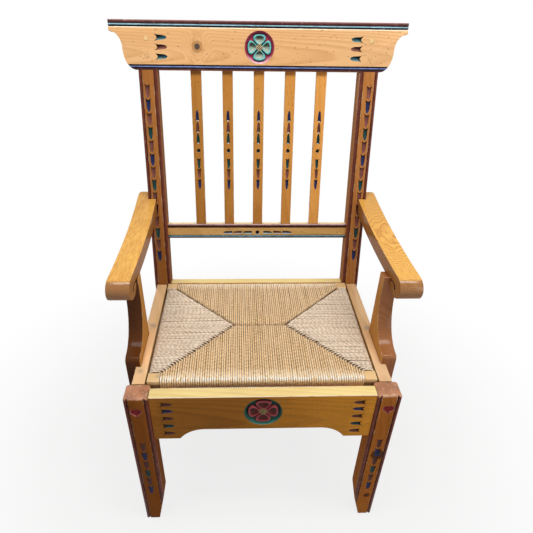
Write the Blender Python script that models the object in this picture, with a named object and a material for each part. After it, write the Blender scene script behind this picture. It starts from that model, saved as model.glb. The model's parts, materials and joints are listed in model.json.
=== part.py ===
import math

import bmesh
import bpy
from mathutils import Vector

# All sizes are in metres and all angles in degrees.
# Chair space: X to the right seen from the front, Y back from the front of the legs, Z up from the floor.
# Back space, for what stands between the posts: X, depth behind the posts' front, rise along the rake.

FIT = 0.0003  # gap between faces that touch

# Seat frame
SEAT_HEIGHT = 0.440  # floor to the top of the seat rails
FRAME_WIDTH = 0.576  # outside of one front leg to the outside of the other
SEAT_DEPTH = 0.4145  # front of the legs to the front of the back posts

LEG_WIDTH = 0.0515
LEG_DEPTH = 0.0425
LEG_BEAD_RADIUS = 0.0037
LEG_QUIRK = 0.0020
LEG_TOP_EASE = 0.0035
FOOT_TAPER = 0.019  # taken off the inner side of the foot
FOOT_TAPER_HEIGHT = 0.095

APRON_HEIGHT = 0.129
APRON_THICK = 0.027
APRON_SET_BACK = 0.003
APRON_LOW_END = 0.0575  # straight low stretch beside each leg
APRON_ARCH = 0.0287  # how far the middle is raised
APRON_COVE_RADIUS = 0.063

RAIL_THICK = 0.027
RAIL_HEIGHT = 0.075
RAIL_INSET = 0.011  # side rail's outside, in from the legs' outside
REAR_RAIL_THICK = 0.020
REAR_RAIL_HEIGHT = 0.065
REAR_RAIL_SET_BACK = 0.0075

TENON_THICK = 0.010
TENON_LENGTH = 0.020
TENON_SHOULDER = 0.010  # rail left above and below a tenon
TENON_WALL = 0.002  # wood left between two tenons in one post

BLOCK_REACH = 0.060
BLOCK_HEIGHT = 0.030

# Back
POST_WIDTH = 0.043
POST_DEPTH = 0.041
POST_INSET = 0.005  # posts' outside, in from the legs' outside
POST_BEAD_RADIUS = 0.0032
POST_QUIRK = 0.0018
POST_LENGTH = 0.542  # seat rails to the crest, along the rake
RAKE = 11.7
KNEE_HEIGHT = 0.350
FOOT_SWEEP = 0.030  # how far the rear feet stand back

CREST_HEIGHT = 0.104
CREST_THICK = 0.027
CREST_OVERHANG = 0.0615  # top corner beyond the post
CREST_LIP = 0.004  # bottom corner beyond the post
CREST_WAIST = 0.0335  # middle of the ogee beyond the post
CREST_WAIST_RISE = 0.046
CREST_END_FLAT = 0.023
CREST_NOSE_RADIUS = 0.0038
CREST_BEAD_RADIUS = 0.0018
CREST_GROOVE = 0.0026
CREST_GROOVE_DEPTH = 0.0020
CREST_FILLET = 0.003
CREST_TENON_WIDTH = 0.030
CREST_TENON_THICK = 0.011
CREST_TENON_END = 0.014  # tenon beyond the upper peg

PEG_RADIUS = 0.0052
PEG_SPACING = 0.036
PEG_DROP = 0.004  # pegs' middle below the crest's middle
PEG_LENGTH = 0.0225
PEG_PROUD = 0.0006

LOWER_RAIL_RISE = 0.131
LOWER_RAIL_HEIGHT = 0.038
LOWER_RAIL_THICK = 0.018
LOWER_NOSE_RADIUS = 0.0038
LOWER_BEAD_RADIUS = 0.0014
LOWER_GROOVE = 0.0022
LOWER_GROOVE_DEPTH = 0.0016
LOWER_FILLET = 0.0012
LOWER_TENON_LENGTH = 0.018
LOWER_TENON_THICK = 0.008
LOWER_TENON_SHOULDER = 0.007

SLAT_COUNT = 5
SLAT_PITCH = 0.0753
SLAT_WIDTH = 0.025
SLAT_THICK = 0.011
SLAT_TENON_LENGTH = 0.012
SLAT_TENON_WIDTH = 0.017
SLAT_TENON_THICK = 0.006

# Arms
ARM_RISE = 0.234  # seat rails to the top of the arm, at the post
ARM_FALL = 6.7  # slope down to the front
ARM_WIDTH = 0.0485
ARM_THICK = 0.0325
ARM_THROAT = 0.0245  # thickness where the arm turns into its roll
ARM_LAP = 0.020  # how much of the post's front the arm covers
ARM_STOP = 0.005  # end of the arm short of the post's back
ARM_END_ROUND = 0.008
ARM_FLARE = 0.020  # outward bend, from the post to the roll
LEFT_ARM_SWING = 0.011  # how far the left roll stands in from its mirrored place
ARM_SET_BACK = 0.124  # front of the legs to the front of the roll
ROLL_RADIUS = 0.0255
ROLL_GAP = 0.0035  # between the curl's tip and the arm
ROLL_SLOT = 0.0045  # slot beside the curl
ROLL_SLOT_BACK = 0.002  # slot behind the middle of the roll
ROLL_EYE = 0.010  # end of the slot below the middle of the roll
CURL_ROUND = 0.004
THROAT_ROUND = 0.007

SUPPORT_THICK = 0.032
SUPPORT_LET_IN = 0.010
SUPPORT_NECK = 0.030
SUPPORT_NECK_LENGTH = 0.051
SUPPORT_TOE = 0.116
SUPPORT_TOE_RISE = 0.022
SUPPORT_TOE_ROUND = 0.010
SUPPORT_CLEAR = 0.0055  # space behind the roll

SCREW_RADIUS = 0.0023
SCREW_HEAD_RADIUS = 0.0044
SCREW_HEAD = 0.003
SCREW_LENGTH = 0.036
SUPPORT_SCREW_SPACING = 0.060
PLUG_RADIUS = 0.0050
PLUG_LENGTH = 0.007
DOWEL_RADIUS = 0.004
DOWEL_IN_SUPPORT = 0.018
DOWEL_IN_ARM = 0.012

# Drop-in seat
SEAT_SIDE_CLEAR = 0.004
SEAT_END_CLEAR = 0.0012
SEAT_RISE = 0.0045  # corner posts above the seat rails
SEAT_FRAME_HEIGHT = 0.0295
SEAT_CORNER = 0.0265
SEAT_RAIL_WIDTH = 0.020
SEAT_TENON = 0.008
SEAT_TENON_LENGTH = 0.008
RUSH_WRAP = 0.0055
RUSH_RISE = 0.003  # rush above the corner posts
RUSH_CLEAR = 0.0008  # rush above the bottom of the corner posts
RUSH_CROWN = 0.002
RUSH_ROUND = 0.009

# Carved flower on the crest and the apron
CREST_FLOWER_RADIUS = 0.0347
APRON_FLOWER_RADIUS = 0.0405
APRON_FLOWER_HEIGHT = 0.0825  # above the bottom of the apron's ends
FLOWER_DEPTH = 0.0042
FLOWER_RIM = 0.0007  # petals below the face of the board
FLOWER_HOLLOW = 0.0020
PETAL_COUNT = 4

PINE = (0.70, 0.40, 0.15)
DARK_PINE = (0.33, 0.16, 0.06)
PALE_WOOD = (0.80, 0.60, 0.36)
RUSH = (0.66, 0.52, 0.35)
STEEL = (0.55, 0.55, 0.56)

# Places that several pieces share
rake = math.radians(RAKE)
fall = math.radians(ARM_FALL)
leg_out = FRAME_WIDTH / 2
leg_in = leg_out - LEG_WIDTH
post_out = leg_out - POST_INSET
post_in = post_out - POST_WIDTH
post_mid = post_out - POST_WIDTH / 2
rail_out = leg_out - RAIL_INSET
rail_in = rail_out - RAIL_THICK
rail_mid = rail_out - RAIL_THICK / 2
rail_bottom = SEAT_HEIGHT - RAIL_HEIGHT
apron_bottom = SEAT_HEIGHT - APRON_HEIGHT
apron_back = APRON_SET_BACK + APRON_THICK
back_mid = POST_DEPTH / 2
crest_front = back_mid - CREST_THICK / 2
crest_top = POST_LENGTH + CREST_HEIGHT
peg_middle = POST_LENGTH + CREST_HEIGHT / 2 - PEG_DROP
peg_rises = (peg_middle - PEG_SPACING / 2, peg_middle + PEG_SPACING / 2)
crest_tenon_top = peg_rises[1] + CREST_TENON_END
lower_rail_top = LOWER_RAIL_RISE + LOWER_RAIL_HEIGHT
slat_places = [SLAT_PITCH * (i - (SLAT_COUNT - 1) / 2) for i in range(SLAT_COUNT)]

arm_y = SEAT_DEPTH + ARM_RISE * math.tan(rake)
arm_z = SEAT_HEIGHT + ARM_RISE
roll_y = ARM_SET_BACK + ROLL_RADIUS
roll_z = (
    arm_z + math.tan(fall) * (roll_y - ROLL_RADIUS * math.sin(fall) - arm_y) - ROLL_RADIUS * math.cos(fall)
)
support_front = roll_y + ROLL_RADIUS + SUPPORT_CLEAR
support_back = support_front + SUPPORT_NECK
support_in = rail_out - SUPPORT_LET_IN
support_mid = support_in + SUPPORT_THICK / 2
toe_y = support_back - SUPPORT_TOE

seat_half = rail_in - SEAT_SIDE_CLEAR
seat_front = LEG_DEPTH + SEAT_END_CLEAR
seat_back = SEAT_DEPTH - SEAT_END_CLEAR
seat_mid = (seat_front + seat_back) / 2
seat_top = SEAT_HEIGHT + SEAT_RISE
seat_bottom = seat_top - SEAT_FRAME_HEIGHT
rush_top = seat_top + RUSH_RISE
rush_bottom = seat_bottom + RUSH_CLEAR
seat_rail_z = (rush_bottom + RUSH_WRAP, rush_top - RUSH_WRAP)
seat_tenon_lift = (SEAT_TENON + TENON_WALL) / 2  # tenons across sit above those that run back


def back_point(depth, rise):
    """Y and Z in chair space of a point between the posts."""
    y = SEAT_DEPTH + rise * math.sin(rake) + depth * math.cos(rake)
    z = SEAT_HEIGHT + rise * math.cos(rake) - depth * math.sin(rake)
    return y, z


def arm_point(along, up):
    """Y and Z in chair space of a point of the arm's side, from the middle of its roll."""
    y = roll_y + along * math.cos(fall) - up * math.sin(fall)
    z = roll_z + along * math.sin(fall) + up * math.cos(fall)
    return y, z


def arm_reach(up, depth):
    """How far back along the arm this height meets a depth behind the posts' front."""
    y, z = arm_point(0, up)
    start = (y - SEAT_DEPTH) * math.cos(rake) - (z - SEAT_HEIGHT) * math.sin(rake)
    return (depth - start) / math.cos(fall + rake)


arm_post = arm_reach(ROLL_RADIUS, 0)
throat_under = ROLL_RADIUS - ARM_THROAT
arm_under = ROLL_RADIUS - ARM_THICK
throat_start = ROLL_RADIUS + SUPPORT_CLEAR / 2
throat_end = throat_start + SUPPORT_CLEAR / 2 + SUPPORT_NECK
throat_steps = 6


def throat_line():
    """The underside from the roll to the back of the support, where the arm gains its full thickness."""
    line = []
    for i in range(throat_steps + 1):
        share = i / throat_steps
        ease = math.sin(share * math.pi / 2)
        up = throat_under + (arm_under - throat_under) * ease
        line.append((throat_start + (throat_end - throat_start) * share, up))
    return line


def arm_underside(y):
    """Height of the arm's underside over a place on the seat frame."""
    line = [arm_point(*p) for p in throat_line() + [(arm_post, arm_under)]]
    for (y0, z0), (y1, z1) in zip(line, line[1:]):
        if y <= y1:
            break
    return z0 + (z1 - z0) * (y - y0) / (y1 - y0)


def arm_inside(side, along):
    """X of the arm's inner side, which bends outward to the front and runs straight through the roll."""
    swing = LEFT_ARM_SWING if side < 0 else 0.0
    bent = max(along, throat_start)
    share = max(0.0, (arm_post - bent) / arm_post)
    slope = (2 * ARM_FLARE * share - swing) / arm_post
    x = post_out - ARM_LAP + ARM_FLARE * share**2 - swing * share
    return x + slope * (bent - along)


def empty(name, parent=None, location=(0, 0, 0), tilt=0.0):
    obj = bpy.data.objects.new(name, None)
    bpy.context.scene.collection.objects.link(obj)
    obj.parent = parent
    obj.location = location
    obj.rotation_euler.x = tilt
    return obj


def clear_scene():
    for obj in list(bpy.data.objects):
        bpy.data.objects.remove(obj, do_unlink=True)


clear_scene()
crest_rear_y = back_point(crest_front + CREST_THICK, crest_top)[0]
chair = empty("chair", location=(0, -crest_rear_y / 2, 0))
chair_back = empty("chair_back", chair, (0, SEAT_DEPTH, SEAT_HEIGHT), -rake)
drop_in_seat = empty("drop_in_seat", chair, (0, seat_mid, seat_bottom))


def material(name, colour, roughness, metallic=0.0):
    made = bpy.data.materials.new(name)
    made.use_nodes = True
    shader = made.node_tree.nodes["Principled BSDF"]
    shader.inputs["Base Color"].default_value = (*colour, 1)
    shader.inputs["Roughness"].default_value = roughness
    shader.inputs["Metallic"].default_value = metallic
    return made


def finish(obj, colour, roughness=0.35, metallic=0.0, smooth=False):
    obj.data.materials.append(material(obj.name + "_finish", colour, roughness, metallic))
    if smooth:
        obj.data.shade_smooth()
        obj.data.set_sharp_from_angle(angle=math.radians(32))
    return obj


def solid(name, points, faces, parent):
    """One closed mesh object, with its origin at the middle of its box."""
    mesh = bpy.data.meshes.new(name)
    shape = bmesh.new()
    parent_origin = Vector(parent.location) if parent is drop_in_seat else Vector()
    low = Vector([min(p[i] for p in points) for i in range(3)])
    high = Vector([max(p[i] for p in points) for i in range(3)])
    middle = (low + high) / 2
    made = [shape.verts.new(Vector(p) - middle) for p in points]
    for face in faces:
        shape.faces.new([made[i] for i in face])
    bmesh.ops.recalc_face_normals(shape, faces=shape.faces)
    shape.to_mesh(mesh)
    shape.free()
    obj = bpy.data.objects.new(name, mesh)
    bpy.context.scene.collection.objects.link(obj)
    obj.parent = parent
    obj.location = middle - parent_origin
    return obj


def loft(name, rings, parent):
    """Rings of the same count of points joined in turn and capped at both ends."""
    count = len(rings[0])
    points = [p for ring in rings for p in ring]
    faces = [list(range(count)), list(range(len(points) - count, len(points)))]
    for r in range(len(rings) - 1):
        for i in range(count):
            j = (i + 1) % count
            faces.append([r * count + i, r * count + j, (r + 1) * count + j, (r + 1) * count + i])
    return solid(name, points, faces, parent)


def place(axis, along, across):
    """A point from its place along X, Y or Z and the other two coordinates in order."""
    spots = list(across)
    spots.insert("XYZ".index(axis), along)
    return tuple(spots)


def prism(name, outline, axis, low, high, parent):
    rings = [[place(axis, along, p) for p in outline] for along in (low, high)]
    return loft(name, rings, parent)


def box(name, low, high, parent):
    outline = [(low[1], low[2]), (high[1], low[2]), (high[1], high[2]), (low[1], high[2])]
    return prism(name, outline, "X", low[0], high[0], parent)


def bar(name, axis, stations, parent):
    """A straight bar whose rectangular section steps at its tenons: (along, low, high) for each station."""
    rings = []
    for along, (a0, b0), (a1, b1) in stations:
        rings.append([place(axis, along, p) for p in ((a0, b0), (a1, b0), (a1, b1), (a0, b1))])
    return loft(name, rings, parent)


def turned(name, profile, base, axis, sides, parent):
    """A round piece: radii at distances along an axis from its base."""
    centre = list(base)
    spot = "XYZ".index(axis)
    others = [i for i in range(3) if i != spot]
    rings = []
    for radius, along in profile:
        ring = []
        for i in range(sides):
            angle = 2 * math.pi * i / sides
            point = list(centre)
            point[spot] += along
            point[others[0]] += radius * math.cos(angle)
            point[others[1]] += radius * math.sin(angle)
            ring.append(tuple(point))
        rings.append(ring)
    return loft(name, rings, parent)


def cut(target, tool, operation="DIFFERENCE"):
    tool.hide_render = True
    tool.display_type = "WIRE"
    step = target.modifiers.new(tool.name, "BOOLEAN")
    step.operation = operation
    step.object = tool
    step.solver = "EXACT"


def arc(centre, radii, start, end, steps):
    points = []
    for i in range(steps + 1):
        angle = math.radians(start + (end - start) * i / steps)
        points.append((centre[0] + radii[0] * math.cos(angle), centre[1] + radii[1] * math.sin(angle)))
    return points


def beaded_section(width, depth, radius, quirk):
    """Section of a post with a quirked bead on both front corners: across and behind the front."""
    half = width / 2
    bead = arc((half - radius, radius), (radius, -radius), 160, 0, 5)
    groove = half - 2 * radius - quirk
    right = [(groove, 0), (groove, bead[0][1])] + bead + [(half, depth)]
    return right + [(-x, d) for x, d in reversed(right)]


def moulded_face(height, fillet, groove, depth, bead, nose):
    """Front of a rail from the bottom up, as depth and rise: a small bead between grooves, and a nose on top."""
    face = [(0, 0), (0, fillet), (depth, fillet)]
    rise = fillet + groove
    face += [(depth, rise)] + arc((bead, rise + bead), (-bead, -bead), 60, -60, 4)
    rise += 2 * bead
    face += [(depth, rise), (depth, rise + groove), (0, rise + groove)]
    top = height - 2 * nose - groove
    face += [(0, top), (depth, top)]
    face += arc((nose, height - nose), (-nose, nose), -50, 90, 6)
    return face


def build_post(side, name):
    section = beaded_section(POST_WIDTH, POST_DEPTH, POST_BEAD_RADIUS, POST_QUIRK)
    path = [(SEAT_DEPTH + FOOT_SWEEP, 0), (SEAT_DEPTH, KNEE_HEIGHT), (SEAT_DEPTH, SEAT_HEIGHT)]
    path.append(back_point(0, POST_LENGTH))
    foot = Vector((KNEE_HEIGHT, FOOT_SWEEP)).normalized()
    upright = Vector((1, 0))
    leaning = Vector((math.cos(rake), -math.sin(rake)))
    behind = [
        Vector((1 / foot.x, 0)),
        (foot + upright) / (1 + foot.dot(upright)),
        (upright + leaning) / (1 + upright.dot(leaning)),
        leaning,
    ]
    rings = []
    for (y, z), back in zip(path, behind):
        rings.append([(side * post_mid + x, y + d * back.x, z + d * back.y) for x, d in section])
    post = finish(loft(name, rings, chair), PINE)
    half = CREST_TENON_WIDTH / 2
    thick = CREST_TENON_THICK / 2
    tenon = box(
        name + "_tenon",
        (side * post_mid - half, back_mid - thick, POST_LENGTH - 0.005),
        (side * post_mid + half, back_mid + thick, crest_tenon_top),
        chair_back,
    )
    cut(post, tenon, "UNION")
    cut(post, side_rail_mortise(side, "post", SEAT_DEPTH - 0.01, SEAT_DEPTH + TENON_LENGTH + FIT))
    cut(post, rear_rail_mortise(side))
    cut(post, lower_rail_mortise(side))
    return post


def crest_mortise(side):
    half = CREST_TENON_WIDTH / 2 + FIT
    thick = CREST_TENON_THICK / 2 + FIT
    return box(
        "crest_mortise_%+d" % side,
        (side * post_mid - half, back_mid - thick, POST_LENGTH - 0.01),
        (side * post_mid + half, back_mid + thick, crest_tenon_top + FIT),
        chair_back,
    )


def side_rail_mortise(side, name, front, back):
    half = TENON_THICK / 2 + FIT
    return box(
        "side_mortise_%s_%+d" % (name, side),
        (side * rail_mid - half, front, rail_bottom + TENON_SHOULDER - FIT),
        (side * rail_mid + half, back, SEAT_HEIGHT - TENON_SHOULDER + FIT),
        chair,
    )


def tenon_end(start):
    """Where a tenon that enters a post from inside stops, clear of the side rail's tenon."""
    return max(start + TENON_WALL, rail_mid - TENON_THICK / 2 - TENON_WALL)


def rear_rail_mortise(side):
    mid = SEAT_DEPTH + REAR_RAIL_SET_BACK + REAR_RAIL_THICK / 2
    half = TENON_THICK / 2 + FIT
    low, high = sorted((side * (post_in - 0.01), side * (tenon_end(post_in) + FIT)))
    bottom = SEAT_HEIGHT - REAR_RAIL_HEIGHT + TENON_SHOULDER - FIT
    top = SEAT_HEIGHT - TENON_SHOULDER + FIT
    return box("rear_mortise_%+d" % side, (low, mid - half, bottom), (high, mid + half, top), chair)


def lower_rail_mortise(side):
    half = LOWER_TENON_THICK / 2 + FIT
    low, high = sorted((side * (post_in - 0.01), side * (post_in + LOWER_TENON_LENGTH + FIT)))
    bottom = LOWER_RAIL_RISE + LOWER_TENON_SHOULDER - FIT
    top = lower_rail_top - LOWER_TENON_SHOULDER + FIT
    name = "lower_mortise_%+d" % side
    return box(name, (low, back_mid - half, bottom), (high, back_mid + half, top), chair_back)


def build_leg(side, name):
    section = beaded_section(LEG_WIDTH, LEG_DEPTH, LEG_BEAD_RADIUS, LEG_QUIRK)
    mid = side * (leg_out - LEG_WIDTH / 2)
    rings = []
    for z, inset in (
        (0, 0),
        (SEAT_HEIGHT - LEG_TOP_EASE, 0),
        (SEAT_HEIGHT - LEG_TOP_EASE * 0.3, LEG_TOP_EASE * 0.3),
        (SEAT_HEIGHT, LEG_TOP_EASE),
    ):
        wide = 1 - 2 * inset / LEG_WIDTH
        deep = 1 - 2 * inset / LEG_DEPTH
        rings.append([(mid + x * wide, LEG_DEPTH / 2 + (d - LEG_DEPTH / 2) * deep, z) for x, d in section])
    leg = finish(loft(name, rings, chair), PINE)
    slope = FOOT_TAPER / FOOT_TAPER_HEIGHT
    wedge = [
        (side * leg_in, FOOT_TAPER_HEIGHT),
        (side * (leg_in + FOOT_TAPER + 0.01 * slope), -0.01),
        (side * (leg_in - 0.01), -0.01),
        (side * (leg_in - 0.01), FOOT_TAPER_HEIGHT),
    ]
    cut(leg, prism(name + "_taper", wedge, "Y", -0.01, LEG_DEPTH + 0.01, chair))
    cut(leg, side_rail_mortise(side, "leg", LEG_DEPTH - TENON_LENGTH - FIT, LEG_DEPTH + 0.01))
    cut(leg, apron_tenon(side, "mortise", FIT))
    return leg


def apron_tenon(side, name, spare):
    mid = APRON_SET_BACK + APRON_THICK / 2 - TENON_THICK / 4
    half = TENON_THICK / 2 + spare
    low, high = sorted((side * (leg_in - 0.008), side * (tenon_end(leg_in) + spare)))
    bottom = apron_bottom + TENON_SHOULDER - spare
    top = SEAT_HEIGHT - TENON_SHOULDER + spare
    return box("apron_%s_%+d" % (name, side), (low, mid - half, bottom), (high, mid + half, top), chair)


def build_apron():
    end = leg_in - FIT
    middle = apron_bottom + APRON_ARCH
    turn = math.degrees(math.acos(1 - APRON_ARCH / APRON_COVE_RADIUS))
    low_end = leg_in - APRON_LOW_END
    cove_start = low_end - APRON_COVE_RADIUS * math.sin(math.radians(turn))
    cove = arc((cove_start, middle - APRON_COVE_RADIUS), (APRON_COVE_RADIUS,) * 2, 90, 90 - turn, 8)
    half = cove + [(end, apron_bottom), (end, SEAT_HEIGHT)]
    outline = half + [(-x, z) for x, z in reversed(half)]
    apron = finish(prism("front_apron", outline, "Y", APRON_SET_BACK, apron_back, chair), PINE)
    for side in (-1, 1):
        cut(apron, apron_tenon(side, "tenon", 0), "UNION")
    carve_flower(apron, APRON_FLOWER_RADIUS, APRON_SET_BACK, apron_bottom + APRON_FLOWER_HEIGHT, chair)
    return apron


def build_side_rail(side, name):
    low, high = sorted((side * rail_in, side * rail_out))
    mid = side * rail_mid
    half = TENON_THICK / 2
    thin = ((mid - half, rail_bottom + TENON_SHOULDER), (mid + half, SEAT_HEIGHT - TENON_SHOULDER))
    full = ((low, rail_bottom), (high, SEAT_HEIGHT))
    front = LEG_DEPTH + FIT
    back = SEAT_DEPTH - FIT
    stations = [
        (LEG_DEPTH - TENON_LENGTH, *thin),
        (front, *thin),
        (front, *full),
        (back, *full),
        (back, *thin),
        (SEAT_DEPTH + TENON_LENGTH, *thin),
    ]
    rail = finish(bar(name, "Y", stations, chair), PINE)
    low, high = sorted((side * (support_in - FIT), side * (rail_out + 0.01)))
    housing = box(
        name + "_housing",
        (low, toe_y - FIT, rail_bottom - 0.01),
        (high, support_back + FIT, SEAT_HEIGHT + 0.01),
        chair,
    )
    cut(rail, housing)
    for tool in support_screws(side, "rail_hole", FIT):
        cut(rail, tool)
    return rail


def build_rear_rail():
    front = SEAT_DEPTH + REAR_RAIL_SET_BACK
    back = front + REAR_RAIL_THICK
    bottom = SEAT_HEIGHT - REAR_RAIL_HEIGHT
    mid = (front + back) / 2
    half = TENON_THICK / 2
    thin = ((mid - half, bottom + TENON_SHOULDER), (mid + half, SEAT_HEIGHT - TENON_SHOULDER))
    full = ((front, bottom), (back, SEAT_HEIGHT))
    end = post_in - FIT
    tip = tenon_end(post_in)
    stations = [(-tip, *thin), (-end, *thin), (-end, *full), (end, *full), (end, *thin), (tip, *thin)]
    return finish(bar("rear_seat_rail", "X", stations, chair), PINE)


def build_corner_block(side, place_name, corner, rail_y, x_in, direction):
    """A glued block that fits round the inner corner of a leg or post and carries the seat."""
    edge = rail_in - FIT
    x, y = corner
    outline = [
        (side * x, rail_y),
        (side * x, y),
        (side * edge, y),
        (side * edge, y + direction * BLOCK_REACH),
        (side * (x_in - BLOCK_REACH), rail_y),
    ]
    top = seat_bottom - FIT
    name = "%s_corner_block" % place_name
    return finish(prism(name, outline, "Z", top - BLOCK_HEIGHT, top, chair), PALE_WOOD, 0.6)


def build_crest():
    face = moulded_face(
        CREST_HEIGHT, CREST_FILLET, CREST_GROOVE, CREST_GROOVE_DEPTH, CREST_BEAD_RADIUS, CREST_NOSE_RADIUS
    )
    # a second bead below the nose
    nose_start = next(i for i, p in enumerate(face) if p[1] > CREST_HEIGHT / 2)
    upper = CREST_HEIGHT - 2 * CREST_NOSE_RADIUS - CREST_GROOVE * 0.25
    bead = arc((CREST_BEAD_RADIUS, upper - CREST_BEAD_RADIUS), (-CREST_BEAD_RADIUS,) * 2, 60, -60, 4)
    low = upper - 2 * CREST_BEAD_RADIUS
    second = [(0, low - CREST_GROOVE), (CREST_GROOVE_DEPTH, low - CREST_GROOVE), (CREST_GROOVE_DEPTH, low)]
    second += bead + [(CREST_GROOVE_DEPTH, upper)]
    face[nose_start:nose_start + 2] = second
    section = face + [(CREST_THICK - 0.002, CREST_HEIGHT), (CREST_THICK, CREST_HEIGHT - 0.002), (CREST_THICK, 0)]
    section = [(crest_front + d, POST_LENGTH + FIT + r) for d, r in section]
    top_half = post_out + CREST_OVERHANG
    crest = finish(prism("crest_rail", section, "X", -top_half, top_half, chair_back), PINE, smooth=True)
    for side in (-1, 1):
        cut(crest, crest_ogee(side))
        cut(crest, crest_mortise(side))
        for i, rise in enumerate(peg_rises):
            cut(crest, crest_peg(side, rise, "peg_hole_crest_%+d_%d" % (side, i), FIT))
    slat_end = POST_LENGTH + SLAT_TENON_LENGTH + FIT
    for i, x in enumerate(slat_places):
        cut(crest, slat_mortise(x, POST_LENGTH - 0.005, slat_end, "crest_slat_%d" % i))
    carve_flower(crest, CREST_FLOWER_RADIUS, crest_front, peg_middle + PEG_DROP / 2, chair_back)
    return crest


def crest_ogee(side):
    """What is sawn off one end of the crest: hollow above, round below."""
    top = post_out + CREST_OVERHANG
    waist = post_out + CREST_WAIST
    lip = post_out + CREST_LIP
    shoulder = CREST_HEIGHT - CREST_END_FLAT
    curve = arc((lip, CREST_WAIST_RISE), (waist - lip, CREST_WAIST_RISE), -90, 0, 8)
    hollow = arc((top, CREST_WAIST_RISE), (top - waist, shoulder - CREST_WAIST_RISE), 180, 90, 8)
    outline = [(lip, -0.01)] + curve + hollow[1:] + [(top + 0.01, shoulder), (top + 0.01, -0.01)]
    outline = [(side * x, POST_LENGTH + r) for x, r in outline]
    rear = crest_front + CREST_THICK
    return prism("crest_ogee_%+d" % side, outline, "Y", crest_front - 0.01, rear + 0.01, chair_back)


def crest_peg(side, rise, name, spare):
    start = crest_front - (0.005 if spare else PEG_PROUD)
    end = crest_front + PEG_LENGTH + spare
    profile = [(PEG_RADIUS + spare, 0), (PEG_RADIUS + spare, end - start)]
    if not spare:
        profile[:1] = [(PEG_RADIUS * 0.75, 0), (PEG_RADIUS, PEG_PROUD * 0.8)]
    return turned(name, profile, (side * post_mid, start, rise), "Y", 16, chair_back)


def slat_mortise(x, low, high, name):
    wide = SLAT_TENON_WIDTH / 2 + FIT
    thick = SLAT_TENON_THICK / 2 + FIT
    name += "_mortise"
    return box(name, (x - wide, back_mid - thick, low), (x + wide, back_mid + thick, high), chair_back)


def build_lower_rail():
    section = moulded_face(
        LOWER_RAIL_HEIGHT, LOWER_FILLET, LOWER_GROOVE, LOWER_GROOVE_DEPTH, LOWER_BEAD_RADIUS, LOWER_NOSE_RADIUS
    )
    section += [(LOWER_RAIL_THICK, LOWER_RAIL_HEIGHT), (LOWER_RAIL_THICK, 0)]
    front = back_mid - LOWER_RAIL_THICK / 2
    section = [(front + d, LOWER_RAIL_RISE + r) for d, r in section]
    end = post_in - FIT
    rail = finish(prism("lower_back_rail", section, "X", -end, end, chair_back), PINE)
    thick = LOWER_TENON_THICK / 2
    for side in (-1, 1):
        low, high = sorted((side * (end - 0.01), side * (post_in + LOWER_TENON_LENGTH)))
        tenon = box(
            "lower_tenon_%+d" % side,
            (low, back_mid - thick, LOWER_RAIL_RISE + LOWER_TENON_SHOULDER),
            (high, back_mid + thick, lower_rail_top - LOWER_TENON_SHOULDER),
            chair_back,
        )
        cut(rail, tenon, "UNION")
    slat_end = lower_rail_top - SLAT_TENON_LENGTH - FIT
    for i, x in enumerate(slat_places):
        cut(rail, slat_mortise(x, slat_end, lower_rail_top + 0.005, "lower_slat_%d" % i))
    return rail


def build_slat(index, x):
    thin = (
        (x - SLAT_TENON_WIDTH / 2, back_mid - SLAT_TENON_THICK / 2),
        (x + SLAT_TENON_WIDTH / 2, back_mid + SLAT_TENON_THICK / 2),
    )
    full = ((x - SLAT_WIDTH / 2, back_mid - SLAT_THICK / 2), (x + SLAT_WIDTH / 2, back_mid + SLAT_THICK / 2))
    low = lower_rail_top + FIT
    stations = [
        (lower_rail_top - SLAT_TENON_LENGTH, *thin),
        (low, *thin),
        (low, *full),
        (POST_LENGTH, *full),
        (POST_LENGTH, *thin),
        (POST_LENGTH + SLAT_TENON_LENGTH, *thin),
    ]
    return finish(bar("back_slat_%d" % (index + 1), "Z", stations, chair_back), PINE)


def arm_roll():
    """Side of the rolled end: round the front, up the curl, over its tip and down the slot to the throat."""
    tip = throat_under - ROLL_GAP - CURL_ROUND
    rear = math.degrees(math.asin(tip / ROLL_RADIUS))
    half_slot = ROLL_SLOT / 2
    slot_back = ROLL_SLOT_BACK + half_slot
    slot_front = ROLL_SLOT_BACK - half_slot
    curl_back = ROLL_RADIUS * math.cos(math.radians(rear))
    curl_mid = (curl_back + slot_back) / 2
    line = arc((0, 0), (ROLL_RADIUS, ROLL_RADIUS), 90, 360 + rear, 26)
    line += arc((curl_mid, tip), (curl_back - curl_mid, CURL_ROUND), 0, 180, 8)[1:]
    line += arc((ROLL_SLOT_BACK, -ROLL_EYE), (half_slot, half_slot), 0, -180, 6)
    line += arc((slot_front + THROAT_ROUND, throat_under - THROAT_ROUND), (THROAT_ROUND,) * 2, 180, 90, 5)
    return line


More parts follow.
